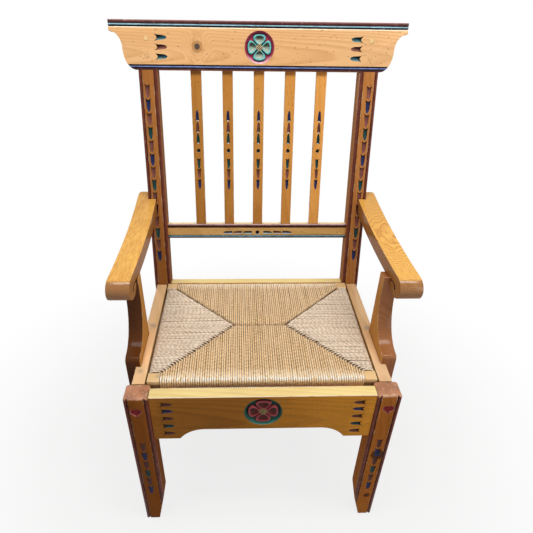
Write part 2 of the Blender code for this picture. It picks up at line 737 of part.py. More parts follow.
def build_arm(side, name):
    """A bent arm with a rolled end, notched round the post and rounded at its outer back corner."""
    front = [(throat_start, ROLL_RADIUS)] + arm_roll() + throat_line()[:1]
    steps = 9
    spots = [p[0] for p in throat_line()[1:]]
    spots += [throat_end + (arm_post - throat_end) * (i + 1) / steps for i in range(steps)]
    ups = [p[1] for p in throat_line()[1:]] + [arm_under] * steps
    depth = POST_DEPTH - ARM_STOP
    end = arm_reach(arm_under, depth), arm_reach(ROLL_RADIUS, depth)
    trims = [0.0] * len(spots)
    rows = list(zip(spots, spots, ups))
    for i in range(5):
        angle = math.pi / 2 * i / 4
        back = ARM_END_ROUND * (1 - math.sin(angle))
        rows.append((end[0] - back, end[1] - back, arm_under))
        trims.append(ARM_END_ROUND * (1 - math.cos(angle)))
    under = [(along, up) for along, _, up in rows]
    top = [(along, ROLL_RADIUS) for _, along, _ in rows]
    outline = front + under + top[::-1]
    trims = [0.0] * len(front) + trims + trims[::-1]
    count = len(outline)
    points = []
    for width in (0, ARM_WIDTH):
        for (along, up), trim in zip(outline, trims):
            y, z = arm_point(along, up)
            out = width - trim if width else 0
            points.append((side * (arm_inside(side, along) + out), y, z))
    faces = [[i, (i + 1) % count, count + (i + 1) % count, count + i] for i in range(count)]
    last = len(front)
    under_row = [last - 1] + list(range(last, last + len(rows)))
    top_row = [0] + list(range(count - 1, count - len(rows) - 1, -1))
    for skin in (0, count):
        faces.append([skin + i for i in range(last)])
        for i in range(len(rows)):
            faces.append([skin + k for k in (under_row[i], under_row[i + 1], top_row[i + 1], top_row[i])])
    arm = finish(solid(name, points, faces, chair), PINE, smooth=True)
    low, high = sorted((side * (post_out - ARM_LAP - 0.02), side * (post_out + FIT)))
    rise = ARM_RISE / math.cos(rake)
    cut(arm, box(name + "_notch", (low, -FIT, rise - 0.1), (high, POST_DEPTH + 0.05, rise + 0.1), chair_back))
    cut(arm, arm_dowel(side, "arm_dowel_hole", FIT))
    cut(arm, arm_plug(side, "plug_hole", FIT))
    cut(arm, arm_screw(side, "arm_screw_hole", FIT))
    return arm


def screw_profile(spare, length=SCREW_LENGTH):
    return [
        (SCREW_HEAD_RADIUS + spare, -spare),
        (SCREW_RADIUS + spare, SCREW_HEAD),
        (SCREW_RADIUS + spare, length + spare),
    ]


def arm_fixing_place():
    """Middle of the arm's tongue beside the post."""
    up = ROLL_RADIUS - ARM_THICK / 2
    return arm_point(arm_reach(up, (POST_DEPTH - ARM_STOP) / 2), up)


def arm_plug(side, name, spare):
    y, z = arm_fixing_place()
    outside = post_out - ARM_LAP + ARM_WIDTH
    depth = PLUG_LENGTH + spare
    profile = [(PLUG_RADIUS + spare, 0), (PLUG_RADIUS + spare, -side * (depth + spare * 20))]
    base = side * (outside + spare * 20)
    if not spare:
        profile = [(PLUG_RADIUS, 0), (PLUG_RADIUS, -side * PLUG_LENGTH)]
        base = side * outside
    return turned(name, profile, (base, y, z), "X", 16, chair)


def arm_screw(side, name, spare):
    y, z = arm_fixing_place()
    head = post_out - ARM_LAP + ARM_WIDTH - PLUG_LENGTH - 2 * FIT
    profile = [(r, -side * along) for r, along in screw_profile(spare)]
    return turned(name, profile, (side * head, y, z), "X", 12, chair)


def support_screws(side, name, spare):
    """Screws from the inside of the side rail into the arm support."""
    z = (rail_bottom + SEAT_HEIGHT) / 2
    mid = (toe_y + support_back) / 2
    made = []
    for i, step in enumerate((-0.5, 0.5)):
        y = mid + step * SUPPORT_SCREW_SPACING
        profile = [(r, side * along) for r, along in screw_profile(spare)]
        base = (side * (rail_in + FIT), y, z)
        made.append(turned("%s_%+d_%d" % (name, side, i), profile, base, "X", 12, chair))
    return made


def arm_dowel(side, name, spare):
    y = (support_front + support_back) / 2
    low = arm_underside(y) - DOWEL_IN_SUPPORT - spare
    high = arm_underside(y) + DOWEL_IN_ARM + spare
    profile = [(DOWEL_RADIUS + spare, 0), (DOWEL_RADIUS + spare, high - low)]
    return turned(name, profile, (side * support_mid, y, low), "Z", 12, chair)


def build_support(side, name):
    """Sawn arm support: a toe on the side rail, a hollow front and a neck under the arm."""
    neck_z = arm_underside(support_front) - SUPPORT_NECK_LENGTH
    toe_top = SEAT_HEIGHT + SUPPORT_TOE_RISE
    hollow_y = toe_y + SUPPORT_TOE_ROUND
    toe = arc((hollow_y, toe_top - SUPPORT_TOE_RISE / 2), (SUPPORT_TOE_ROUND, SUPPORT_TOE_RISE / 2), 180, 90, 5)
    hollow = arc((hollow_y, neck_z), (support_front - hollow_y, neck_z - toe_top), -90, 0, 12)
    outline = [(toe_y, rail_bottom)] + toe + hollow[1:]
    between = [arm_point(*p)[0] for p in throat_line()]
    between = [y for y in between if support_front < y < support_back]
    outline += [(y, arm_underside(y) - FIT) for y in [support_front] + between + [support_back]]
    outline.append((support_back, rail_bottom))
    low, high = sorted((side * support_in, side * (support_in + SUPPORT_THICK)))
    support = finish(prism(name, outline, "X", low, high, chair), DARK_PINE, smooth=True)
    cut(support, arm_dowel(side, "support_dowel_hole", FIT))
    for tool in support_screws(side, "support_hole", FIT):
        cut(support, tool)
    return support


def petal_outline(radius, angle, size):
    """A petal that widens from the boss to a round end, turned about the flower's middle."""
    inner, outer, half = 0.20 * radius, 0.82 * radius, 0.33 * radius
    middle = (inner + outer) / 2
    points = []
    for i in range(16):
        turn = 2 * math.pi * i / 16
        along = (outer - inner) / 2 * math.cos(turn) * size
        across = half * math.sin(turn) * size * (1 + 0.45 * math.cos(turn))
        reach = middle + along
        points.append((reach * math.cos(angle) - across * math.sin(angle),
                       reach * math.sin(angle) + across * math.cos(angle)))
    return points


def stack(name, outlines, front, middle, parent):
    """Separate lofts in one helper: each a list of (outline, depth below the face)."""
    points, faces = [], []
    for rings in outlines:
        start = len(points)
        count = len(rings[0][0])
        for outline, depth in rings:
            points += [(x, front + depth, middle + r) for x, r in outline]
        faces.append([start + i for i in range(count)])
        faces.append([start + (len(rings) - 1) * count + i for i in range(count)])
        for r in range(len(rings) - 1):
            row = start + r * count
            for i in range(count):
                j = (i + 1) % count
                faces.append([row + i, row + j, row + count + j, row + count + i])
    return solid(name, points, faces, parent)


def carve_flower(board, radius, front, middle, parent):
    """A dished ground with petals and a boss left standing, and each petal hollowed."""
    rim = arc((0, 0), (radius, radius), 0, 360, 40)[:-1]
    floor = arc((0, 0), (radius * 0.84,) * 2, 0, 360, 40)[:-1]
    above = arc((0, 0), (radius * 1.04,) * 2, 0, 360, 40)[:-1]
    dish = [[(above, -FLOWER_DEPTH / 4), (rim, 0), (floor, FLOWER_DEPTH)]]
    cut(board, stack(board.name + "_dish", dish, front, middle, parent))
    turns = [2 * math.pi * i / PETAL_COUNT for i in range(PETAL_COUNT)]
    petals, hollows = [], []
    for turn in turns:
        petals.append([
            (petal_outline(radius, turn, 1.0), FLOWER_DEPTH + 0.001),
            (petal_outline(radius, turn, 1.0), FLOWER_RIM * 2),
            (petal_outline(radius, turn, 0.93), FLOWER_RIM),
        ])
        hollows.append([
            (petal_outline(radius, turn, 0.80), FLOWER_RIM - 0.001),
            (petal_outline(radius, turn, 0.74), FLOWER_RIM + FLOWER_HOLLOW * 0.4),
            (petal_outline(radius, turn, 0.40), FLOWER_RIM + FLOWER_HOLLOW),
        ])
    cut(board, stack(board.name + "_petals", petals, front, middle, parent), "UNION")
    cut(board, stack(board.name + "_hollows", hollows, front, middle, parent))
    boss = []
    dome = ((1, FLOWER_DEPTH + 0.001), (1, FLOWER_DEPTH / 2), (0.8, FLOWER_RIM * 1.5), (0.4, FLOWER_RIM))
    for size, depth in dome:
        boss.append((arc((0, 0), (0.22 * radius * size,) * 2, 9, 369, 20)[:-1], depth))
    cut(board, stack(board.name + "_boss", [boss], front, middle, parent), "UNION")


def seat_rail(name, axis, half, low, high):
    """A rail of the drop-in frame with a square tenon at each end."""
    mid = (low + high) / 2
    z_low, z_high = seat_rail_z
    z_mid = (z_low + z_high) / 2 + (seat_tenon_lift if axis == "X" else -seat_tenon_lift)
    stub = SEAT_TENON / 2
    thin = ((mid - stub, z_mid - stub), (mid + stub, z_mid + stub))
    full = ((low, z_low), (high, z_high))
    centre, reach = half
    start, end = centre - reach + FIT, centre + reach - FIT
    stations = [
        (start - SEAT_TENON_LENGTH, *thin),
        (start, *thin),
        (start, *full),
        (end, *full),
        (end, *thin),
        (end + SEAT_TENON_LENGTH, *thin),
    ]
    return finish(bar(name, axis, stations, drop_in_seat), PALE_WOOD, 0.6)


def rail_band(edge, direction):
    """Low and high edges of a seat rail inside the rush, from the seat's outer edge."""
    near = edge + direction * RUSH_WRAP
    return sorted((near, near + direction * SEAT_RAIL_WIDTH))


def build_seat_rails():
    across = (0, seat_half - SEAT_CORNER)
    along = (seat_mid, (seat_back - seat_front) / 2 - SEAT_CORNER)
    seat_rail("seat_front_rail", "X", across, *rail_band(seat_front, 1))
    seat_rail("seat_rear_rail", "X", across, *rail_band(seat_back, -1))
    seat_rail("seat_left_rail", "Y", along, *rail_band(-seat_half, 1))
    seat_rail("seat_right_rail", "Y", along, *rail_band(seat_half, -1))


def seat_rail_gap(name, axis, half, low, high, spare):
    """What a seat rail takes out of the rush."""
    centre, reach = half
    z_low, z_high = seat_rail_z[0] - spare, seat_rail_z[1] + spare
    start, end = centre - reach - 0.005, centre + reach + 0.005
    low, high = low - spare, high + spare
    if axis == "X":
        return box(name, (start, low, z_low), (end, high, z_high), drop_in_seat)
    return box(name, (low, start, z_low), (high, end, z_high), drop_in_seat)


def build_seat_corner(x_side, y_side, name):
    x_low, x_high = sorted((x_side * seat_half, x_side * (seat_half - SEAT_CORNER)))
    edge = seat_front if y_side < 0 else seat_back
    y_low, y_high = sorted((edge, edge - y_side * SEAT_CORNER))
    corner = box(name, (x_low, y_low, seat_bottom), (x_high, y_high, seat_top), drop_in_seat)
    finish(corner, PALE_WOOD, 0.5)
    z_mid = sum(seat_rail_z) / 2
    stub = SEAT_TENON / 2 + FIT
    reach = SEAT_TENON_LENGTH + FIT
    y_mid = sum(rail_band(edge, -y_side)) / 2
    inner = x_side * (seat_half - SEAT_CORNER)
    a, b = sorted((inner - x_side * 0.01, inner + x_side * reach))
    z = z_mid + seat_tenon_lift
    cut(corner, box(name + "_across", (a, y_mid - stub, z - stub), (b, y_mid + stub, z + stub), drop_in_seat))
    x_mid = sum(rail_band(x_side * seat_half, -x_side)) / 2
    inner = edge - y_side * SEAT_CORNER
    a, b = sorted((inner - y_side * 0.01, inner + y_side * reach))
    z = z_mid - seat_tenon_lift
    cut(corner, box(name + "_along", (x_mid - stub, a, z - stub), (x_mid + stub, b, z + stub), drop_in_seat))
    return corner


def build_rush():
    """The woven top as one plain solid wrapped round the rails, with four panels that meet at a ridge."""
    x_notch = seat_half - SEAT_CORNER - FIT
    y_reach = (seat_back - seat_front) / 2
    y_notch = y_reach - SEAT_CORNER - FIT

    def ring(inset, z):
        w, d = seat_half - inset, y_reach - inset
        quarter = [(w, y_notch), (x_notch, y_notch), (x_notch, d)]
        points = quarter + [(-x, y) for x, y in reversed(quarter)]
        points += [(-x, -y) for x, y in quarter] + [(x, -y) for x, y in reversed(quarter)]
        return [(x, seat_mid + y, z) for x, y in points]

    rings = [
        ring(RUSH_ROUND * 0.8, rush_bottom),
        ring(RUSH_ROUND * 0.2, rush_bottom + RUSH_ROUND * 0.3),
        ring(0, rush_bottom + RUSH_ROUND),
        ring(0, rush_top - RUSH_ROUND),
        ring(RUSH_ROUND * 0.2, rush_top - RUSH_ROUND * 0.35),
        ring(RUSH_ROUND * 0.8, rush_top),
    ]
    points = [p for one in rings for p in one]
    faces = [list(range(12))]
    for r in range(len(rings) - 1):
        for i in range(12):
            j = (i + 1) % 12
            faces.append([r * 12 + i, r * 12 + j, r * 12 + 12 + j, r * 12 + 12 + i])
    top = (len(rings) - 1) * 12
    bridge = x_notch - y_notch
    points += [(bridge, seat_mid, rush_top + RUSH_CROWN), (-bridge, seat_mid, rush_top + RUSH_CROWN)]
    right, left = len(points) - 2, len(points) - 1
    corner = {"br": top + 1, "bl": top + 4, "fl": top + 7, "fr": top + 10}
    faces += [
        [corner["br"], top + 2, top + 3, corner["bl"]],
        [corner["bl"], top + 5, top + 6, corner["fl"]],
        [corner["fl"], top + 8, top + 9, corner["fr"]],
        [corner["fr"], top + 11, top, corner["br"]],
        [corner["br"], corner["bl"], left, right],
        [corner["fl"], corner["fr"], right, left],
        [corner["bl"], corner["fl"], left],
        [corner["fr"], corner["br"], right],
    ]
    rush = finish(solid("rush_weave", points, faces, drop_in_seat), RUSH, 0.8)
    across = (0, seat_half - SEAT_CORNER)
    along = (seat_mid, y_reach - SEAT_CORNER)
    cut(rush, seat_rail_gap("gap_front", "X", across, *rail_band(seat_front, 1), FIT))
    cut(rush, seat_rail_gap("gap_rear", "X", across, *rail_band(seat_back, -1), FIT))
    cut(rush, seat_rail_gap("gap_left", "Y", along, *rail_band(-seat_half, 1), FIT))
    cut(rush, seat_rail_gap("gap_right", "Y", along, *rail_band(seat_half, -1), FIT))
    return rush


def build_frame():
    build_apron()
    build_rear_rail()
    for side, hand in ((-1, "left"), (1, "right")):
        build_leg(side, hand + "_front_leg")
        build_side_rail(side, hand + "_side_rail")
        front = (leg_in - FIT, LEG_DEPTH + FIT)
        build_corner_block(side, hand + "_front", front, apron_back + FIT, leg_in, 1)
        rear = (post_in - FIT, SEAT_DEPTH - FIT)
        rail_y = SEAT_DEPTH + REAR_RAIL_SET_BACK - FIT
        build_corner_block(side, hand + "_rear", rear, rail_y, post_in, -1)


def build_back():
    build_crest()
    build_lower_rail()
    for i, x in enumerate(slat_places):
        build_slat(i, x)
    for side, hand in ((-1, "left"), (1, "right")):
        post = build_post(side, hand + "_back_post")
        for i, (rise, level) in enumerate(zip(peg_rises, ("lower", "upper"))):
            cut(post, crest_peg(side, rise, "peg_hole_post_%+d_%d" % (side, i), FIT))
            finish(crest_peg(side, rise, "%s_%s_peg" % (hand, level), 0), PALE_WOOD, 0.5, smooth=True)
        cut(post, arm_screw(side, "post_screw_hole", FIT))


def build_arms():
    for side, hand in ((-1, "left"), (1, "right")):
        build_arm(side, hand + "_arm")
        build_support(side, hand + "_arm_support")
        finish(arm_dowel(side, hand + "_arm_dowel", 0), PALE_WOOD, 0.6, smooth=True)
        finish(arm_plug(side, hand + "_arm_plug", 0), PINE, 0.5, smooth=True)
        finish(arm_screw(side, hand + "_arm_screw", 0), STEEL, 0.4, 1.0, smooth=True)
        for i, screw in enumerate(support_screws(side, hand + "_support_screw", 0)):
            screw.name = "%s_support_screw_%d" % (hand, i + 1)
            finish(screw, STEEL, 0.4, 1.0, smooth=True)


def build_seat():
    build_seat_rails()
    build_rush()
    for x_side, hand in ((-1, "left"), (1, "right")):
        build_seat_corner(x_side, -1, "seat_%s_front_corner" % hand)
        build_seat_corner(x_side, 1, "seat_%s_rear_corner" % hand)


build_frame()
build_back()
build_arms()
build_seat()
print("armchair built")
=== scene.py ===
import json
import math
import random

import bmesh
import bpy
import numpy as np
from mathutils import Matrix, Vector

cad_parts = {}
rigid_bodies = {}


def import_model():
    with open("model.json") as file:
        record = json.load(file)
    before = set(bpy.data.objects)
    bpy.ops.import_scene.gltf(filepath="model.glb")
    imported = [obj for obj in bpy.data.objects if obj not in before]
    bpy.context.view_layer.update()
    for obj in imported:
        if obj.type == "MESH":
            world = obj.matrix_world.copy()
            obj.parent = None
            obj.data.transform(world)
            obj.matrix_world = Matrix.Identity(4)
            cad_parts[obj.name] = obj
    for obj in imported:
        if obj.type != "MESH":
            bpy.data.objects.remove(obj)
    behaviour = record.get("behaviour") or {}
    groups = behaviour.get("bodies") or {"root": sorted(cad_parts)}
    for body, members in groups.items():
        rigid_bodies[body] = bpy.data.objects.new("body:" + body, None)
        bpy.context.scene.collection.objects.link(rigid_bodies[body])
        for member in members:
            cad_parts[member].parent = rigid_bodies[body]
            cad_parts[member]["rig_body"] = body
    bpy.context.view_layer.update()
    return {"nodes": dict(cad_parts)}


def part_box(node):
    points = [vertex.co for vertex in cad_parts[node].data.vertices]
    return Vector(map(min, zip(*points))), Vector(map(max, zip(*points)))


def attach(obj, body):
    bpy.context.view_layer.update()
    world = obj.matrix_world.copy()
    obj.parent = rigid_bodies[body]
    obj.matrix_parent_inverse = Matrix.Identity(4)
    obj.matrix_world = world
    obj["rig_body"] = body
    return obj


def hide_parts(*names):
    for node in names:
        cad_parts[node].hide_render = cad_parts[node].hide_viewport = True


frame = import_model()
nodes = frame["nodes"]
print("frame loaded,", len(nodes), "nodes")

# the chair's own measures, in metres and degrees
chairPlan = {"rake": 11.7, "seatHeight": 0.44, "seatDepth": 0.4145, "legMid": 0.26225, "postMid": 0.2615}
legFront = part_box("left_front_leg")[0].y
rake = math.radians(chairPlan["rake"])
frontFrame = Matrix.Translation((0, legFront, 0))  # X, depth behind the legs' front, height
backFrame = Matrix.Translation((0, legFront + chairPlan["seatDepth"], chairPlan["seatHeight"]))
backFrame = backFrame @ Matrix.Rotation(-rake, 4, "X")  # X, depth behind the posts' front, rise up the rake
sides = {"left": -1, "right": 1}
upward, aside = (0, 0, 1), (1, 0, 0)


def middleOf(node):
    low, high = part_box(node)
    return (low + high) / 2


def addObject(name, data):
    made = bpy.data.objects.new(name, data)
    bpy.context.scene.collection.objects.link(made)
    return made


def meshFrom(shape, name):
    mesh = bpy.data.meshes.new(name)
    shape.to_mesh(mesh)
    shape.free()
    return mesh


def addMark(mesh, name, values):
    layer = mesh.attributes.new(name, "FLOAT", "POINT")
    layer.data.foreach_set("value", np.array(values, np.float32))


def smooth(value, low, high):
    share = min(1, max(0, (value - low) / (high - low)))
    return share * share * (3 - 2 * share)


# node helpers: all of them work in the tree that was opened last

tree = None


def newNode(kind):
    return tree.nodes.new("ShaderNode" + kind)


def connect(value, socket):
    if isinstance(value, bpy.types.NodeSocket):
        tree.links.new(value, socket)
    else:
        socket.default_value = value


def calc(operation, first, second=0.0, third=0.0, clamp=False):
    made = newNode("Math")
    made.operation = operation
    made.use_clamp = clamp
    for value, socket in zip((first, second, third), made.inputs):
        connect(value, socket)
    return made.outputs[0]


def times(first, second):
    return calc("MULTIPLY", first, second)


def plus(first, second, clamp=False):
    return calc("ADD", first, second, clamp=clamp)


def less(first, second):
    return calc("SUBTRACT", first, second)


def vectorCalc(operation, first, second=(0, 0, 0), output="Vector"):
    made = newNode("VectorMath")
    made.operation = operation
    connect(first, made.inputs[0])
    connect(second, made.inputs[1])
    return made.outputs[output]


def scaled(place, factors):
    return vectorCalc("MULTIPLY", place, factors)


def dot(first, second):
    return vectorCalc("DOT_PRODUCT", first, second, "Value")


def lengthOf(vector):
    return vectorCalc("LENGTH", vector, output="Value")


def remap(value, low, high, toLow=0.0, toHigh=1.0):
    made = newNode("MapRange")
    made.interpolation_type = "SMOOTHSTEP"
    connect(value, made.inputs["Value"])
    for name, number in (("From Min", low), ("From Max", high), ("To Min", toLow), ("To Max", toHigh)):
        made.inputs[name].default_value = number
    return made.outputs["Result"]


def noise(vector, scale, detail=2.0, roughness=0.5, distortion=0.0):
    # a scale of three numbers draws the pattern out along the axes
    if isinstance(scale, tuple):
        vector, scale = scaled(vector, scale), 1.0
    made = newNode("TexNoise")
    connect(vector, made.inputs["Vector"])
    settings = {"Scale": scale, "Detail": detail, "Roughness": roughness, "Distortion": distortion}
    for name, number in settings.items():
        made.inputs[name].default_value = number
    return made.outputs["Fac"]


def mixColour(factor, first, second, kind="MIX"):
    made = newNode("Mix")
    made.data_type = "RGBA"
    made.blend_type = kind
    connect(factor, made.inputs[0])
    for value, socket in ((first, made.inputs[6]), (second, made.inputs[7])):
        connect(value if isinstance(value, bpy.types.NodeSocket) else (*value, 1), socket)
    return made.outputs[2]


def ramp(value, stops):
    made = newNode("ValToRGB")
    connect(value, made.inputs["Fac"])
    points = made.color_ramp.elements
    while len(points) < len(stops):
        points.new(0.5)
    for point, (place, colour) in zip(points, stops):
        point.position = place
        point.color = (*colour, 1)
    return made.outputs["Color"]


def attribute(name):
    made = newNode("Attribute")
    made.attribute_name = name
    return made.outputs["Fac"]


def objectPlace():
    return newNode("TexCoord").outputs["Object"]


def facing(axis):
    return dot(newNode("NewGeometry").outputs["Normal"], axis)


def bump(height, distance, strength=1.0):
    made = newNode("Bump")
    connect(height, made.inputs["Height"])
    made.inputs["Distance"].default_value = distance
    made.inputs["Strength"].default_value = strength
    return made.outputs["Normal"]


def deepShade(reach, most, clear=0.58):
    # grime and painted shade that darken cuts and corners
    made = newNode("AmbientOcclusion")
    made.samples = 6
    made.inputs["Distance"].default_value = reach
    return remap(made.outputs["AO"], 0.12, clear, most, 0.0)


def newMaterial(name, **settings):
    global tree
    made = bpy.data.materials.new(name)
    made.use_nodes = True
    tree = made.node_tree
    shader = tree.nodes["Principled BSDF"]
    for key, value in settings.items():
        shader.inputs[key].default_value = value
    return made, shader.inputs


def toned(colour, share):
    return tuple(min(1, c * share) for c in colour)


def shaded(colour, shade):
    # darkens a colour more in green and blue than in red, for stain and for painted shade
    return tuple(c * shade**power for c, power in zip(colour, (1.0, 1.15, 1.6)))


# wood

# early wood, late wood and mottling of each kind of piece
woodTones = {
    "arm": ((0.92, 0.525, 0.12), (0.57, 0.23, 0.036), (0.76, 0.37, 0.058)),
    "crest": ((0.92, 0.56, 0.275), (0.62, 0.3, 0.11), (0.76, 0.41, 0.165)),
    "slat": ((0.75, 0.345, 0.078), (0.52, 0.2, 0.03), (0.59, 0.235, 0.038)),
    "rail": ((0.82, 0.5, 0.195), (0.58, 0.3, 0.085), (0.66, 0.36, 0.115)),
    "post": ((0.53, 0.215, 0.055), (0.35, 0.122, 0.027), (0.4, 0.145, 0.034)),
    "apron": ((0.79, 0.322, 0.028), (0.47, 0.172, 0.014), (0.57, 0.214, 0.019)),
    "leg": ((0.47, 0.154, 0.023), (0.31, 0.093, 0.012), (0.36, 0.112, 0.016)),
    "support": ((0.62, 0.3, 0.08), (0.42, 0.18, 0.038), (0.48, 0.21, 0.048)),
    "corner": ((0.88, 0.61, 0.31), (0.69, 0.42, 0.17), (0.75, 0.47, 0.21)),
    "block": ((0.78, 0.58, 0.34), (0.6, 0.38, 0.18), (0.68, 0.46, 0.24)),
    "flushPeg": ((0.8, 0.48, 0.225), (0.72, 0.4, 0.165), (0.76, 0.44, 0.19)),
    "peg": ((0.88, 0.6, 0.29), (0.8, 0.5, 0.21), (0.84, 0.55, 0.24)),
}
# patterns are drawn out across, deep and along the board
woodGrain = {
    "seedStep": 0.37,
    "slow": (14, 14, 2.2),
    "warp": 0.01,
    "fibre": (900, 900, 22),
    "curl": (420, 420, 42),
    "speckle": (420, 420, 70),
    "pits": (130, 130, 85),
    "ripple": (70, 70, 30),
    "patchy": (40, 40, 9),
    "waves": (260, 260, 150),
    "wornAndLitEdge": (0.98, 0.85, 0.66),
    "gapShade": (0.12, 0.062, 0.03),
    "cutShadeReach": 0.011,
    "knot": (0.062, 0.052, 0.052),
    "armLean": (0.075, -1, -0.04),
}


def grainAxes(run):
    # across, deep and along the board for a grain that runs along X, Y, Z, an arm or the raked back
    axes = {
        "X": (upward, (0, 1, 0), aside),
        "Y": (aside, upward, (0, 1, 0)),
        "Z": (aside, (0, 1, 0), upward),
    }
    if run in axes:
        return axes[run]
    if run in ("leftArm", "rightArm"):
        x, y, z = woodGrain["armLean"]
        along = Vector((-x if run == "leftArm" else x, y, z)).normalized()
        across = along.cross(upward).normalized()
        return tuple(across), tuple(across.cross(along)), tuple(along)
    turned = backFrame.to_3x3()
    order = {"rake": (0, 1, 2), "crest": (2, 1, 0)}[run]
    return tuple(tuple(turned.col[i]) for i in order)


def grainPlace(run, centre):
    place = vectorCalc("SUBTRACT", objectPlace(), tuple(centre))
    joined = newNode("CombineXYZ")
    for axis, socket in zip(grainAxes(run), joined.inputs):
        connect(dot(place, axis), socket)
    return joined.outputs["Vector"]


def spotDistance(spot, reach):
    # 0 in the middle of a spot on the chair and 1 at its edge
    return calc("DIVIDE", lengthOf(vectorCalc("SUBTRACT", objectPlace(), tuple(spot))), reach)


def pine(name, run, centre, tone, seed, pith=(0.01, 0.07), lean=(0.01, 0.035), contrast=0.6, shade=1.0,
         top=None, sawnStainAndShade=None, eye=None, gapShadeLevel=None, edgeWearAndLight=0.5, knots=(), patches=(), lacquer=0.06,
         figure=0.0, specks=0.85, endShade=None, year=0.0052):
    gloss = {"Specular IOR Level": 0.0, "Coat Weight": lacquer, "Coat Roughness": 0.13, "Coat IOR": 2.2}
    made, shader = newMaterial(name, **gloss)
    pale, dark, deep = (shaded(colour, shade) for colour in woodTones[tone])
    shift = seed * woodGrain["seedStep"]
    place = vectorCalc("ADD", grainPlace(run, centre), (0, 0, shift))
    slow = scaled(place, woodGrain["slow"])
    split = newNode("SeparateXYZ")
    connect(place, split.inputs[0])
    along = less(split.outputs[2], shift)
    flat = newNode("CombineXYZ")
    for i, start in enumerate((3.1, 8.7)):
        wave = noise(vectorCalc("ADD", slow, (start, start * 2, seed)), 1.0, 2.0, 0.45)
        line = calc("MULTIPLY_ADD", along, lean[i], pith[i])
        warp = times(less(wave, 0.5), woodGrain["warp"] * 2)
        connect(plus(plus(split.outputs[i], line), warp), flat.inputs[i])
    radius = lengthOf(flat.outputs[0])
    if eye:
        # the rings rise to an eye on the face
        away = less(along, eye[0])
        radius = plus(radius, times(times(away, away), eye[1]))
        radius = plus(radius, times(noise(place, woodGrain["ripple"]), 0.009))
    gaps = []
    for spot, reach, fill in knots:
        wobble = times(noise(objectPlace(), 140), 0.35)
        gap = plus(spotDistance(spot, reach), less(wobble, 0.17))
        radius = plus(radius, remap(gap, 0.5, 3.6, 0.022, 0.0))
        gaps.append((gap, fill))
    rings = calc("FRACT", calc("DIVIDE", radius, year))
    late = times(remap(rings, 0.25, 0.86), remap(rings, 0.9, 1.0, 1.0, 0.0))
    late = times(times(late, remap(noise(slow, 0.6), 0.3, 0.7, 0.35, 1.0)), contrast)
    fibre = noise(place, woodGrain["fibre"], 2.0, 0.6)
    late = plus(late, times(less(fibre, 0.5), 0.55), clamp=True)
    colour = mixColour(late, pale, dark)
    mottle = noise(vectorCalc("ADD", slow, (0, seed, 5)), 0.8, 3.0)
    colour = mixColour(remap(mottle, 0.42, 0.72, 0.0, 0.6), colour, deep)
    if figure:
        # fine curled streaks
        curl = noise(place, woodGrain["curl"], 3.0, 0.6, 0.6)
        colour = mixColour(remap(curl, 0.44, 0.62, 0.0, figure), colour, dark)
    fleck = remap(noise(place, woodGrain["speckle"], 1.0), 0.7, 0.78, 0.0, 0.55)
    colour = mixColour(fleck, colour, toned(dark, 0.4))
    cells = newNode("TexVoronoi")
    connect(scaled(place, woodGrain["pits"]), cells.inputs["Vector"])
    cells.inputs["Scale"].default_value = 1.0
    chosen = newNode("SeparateColor")
    connect(cells.outputs["Color"], chosen.inputs[0])
    pit = remap(cells.outputs["Distance"], 0.08, 0.17, 1.0, 0.0)
    pit = times(pit, remap(chosen.outputs[0], 0.45, 0.52, 0.0, specks))
    colour = mixColour(pit, colour, toned(dark, 0.22))
    if endShade:
        # painted shade: the board is darker towards one end
        endShaded = mixColour(late, shaded(dark, 0.7), shaded(dark, 0.36))
        colour = mixColour(remap(along, *endShade, 0.0), colour, endShaded)
    if sawnStainAndShade:
        # sawn edges, all round but the two broad faces, drink more stain; the darkening is also painted shade
        # on the sides of arms and supports
        broad, stain, most, turn = sawnStainAndShade
        turned = remap(less(1.0, calc("ABSOLUTE", facing(broad))), *turn, 0.0, most)
        colour = mixColour(turned, colour, mixColour(late, stain, shaded(stain, 0.7)))
    if top:
        # faces that look up are worn paler and carry a painted highlight
        patchy = remap(noise(place, woodGrain["patchy"], 3.0), 0.2, 0.6, 0.75, 1.0)
        wornAndLit = times(remap(facing(upward), 0.55, 0.97), times(patchy, top[1]))
        colour = mixColour(wornAndLit, colour, mixColour(late, top[0], shaded(top[0], 0.8)))
    for spot, reach, tint, strength in patches:
        ragged = plus(spotDistance(spot, reach), times(noise(objectPlace(), 75, 4, 0.65), 2.0))
        colour = mixColour(remap(ragged, 1.0, 1.9, strength, 0.0), colour, tint)
    for gap, fill in gaps:
        # a knot: brown bark ring, darker wood inside it and a grey core
        colour = mixColour(remap(gap, 0.8, 1.2, fill, 0.0), colour, shaded(dark, 1.3 - fill))
        bark = remap(calc("ABSOLUTE", less(gap, 1.0)), 0.0, 0.2, 0.45, 0.0)
        colour = mixColour(bark, colour, shaded(dark, 0.5))
        colour = mixColour(remap(gap, 0.48, 0.7, 0.92, 0.0), colour, woodGrain["knot"])
    # worn bare edges, pale enough to be a painted highlight along the arrises
    wornLitEdge = noise(objectPlace(), 45, 3)
    wornLitEdge = remap(wornLitEdge, 0.75 - edgeWearAndLight * 0.55, 0.9 - edgeWearAndLight * 0.45, 0.0, edgeWearAndLight)
    colour = mixColour(times(attribute("arris"), wornLitEdge), colour, woodGrain["wornAndLitEdge"])
    if gapShadeLevel:
        # painted shade in the gap under the edge
        sunk = remap(dot(objectPlace(), upward), gapShadeLevel - 0.002, gapShadeLevel + 0.001, 0.7, 0.0)
        colour = mixColour(sunk, colour, woodGrain["gapShade"])
    # grime and painted shade in the wood's cuts, corners and joints
    colour = mixColour(deepShade(woodGrain["cutShadeReach"], 0.75), colour, shaded(dark, 0.16))
    connect(colour, shader["Base Color"])
    connect(remap(noise(slow, 3.0, 3.0), 0.3, 0.7, 0.24, 0.42), shader["Roughness"])
    height = less(times(fibre, 0.6), calc("MAXIMUM", fleck, pit))
    connect(bump(height, 0.00025, 0.5), shader["Normal"])
    connect(bump(noise(place, woodGrain["waves"], 3.0, 0.55), 0.0003, 0.5), shader["Coat Normal"])
    return made


# paint

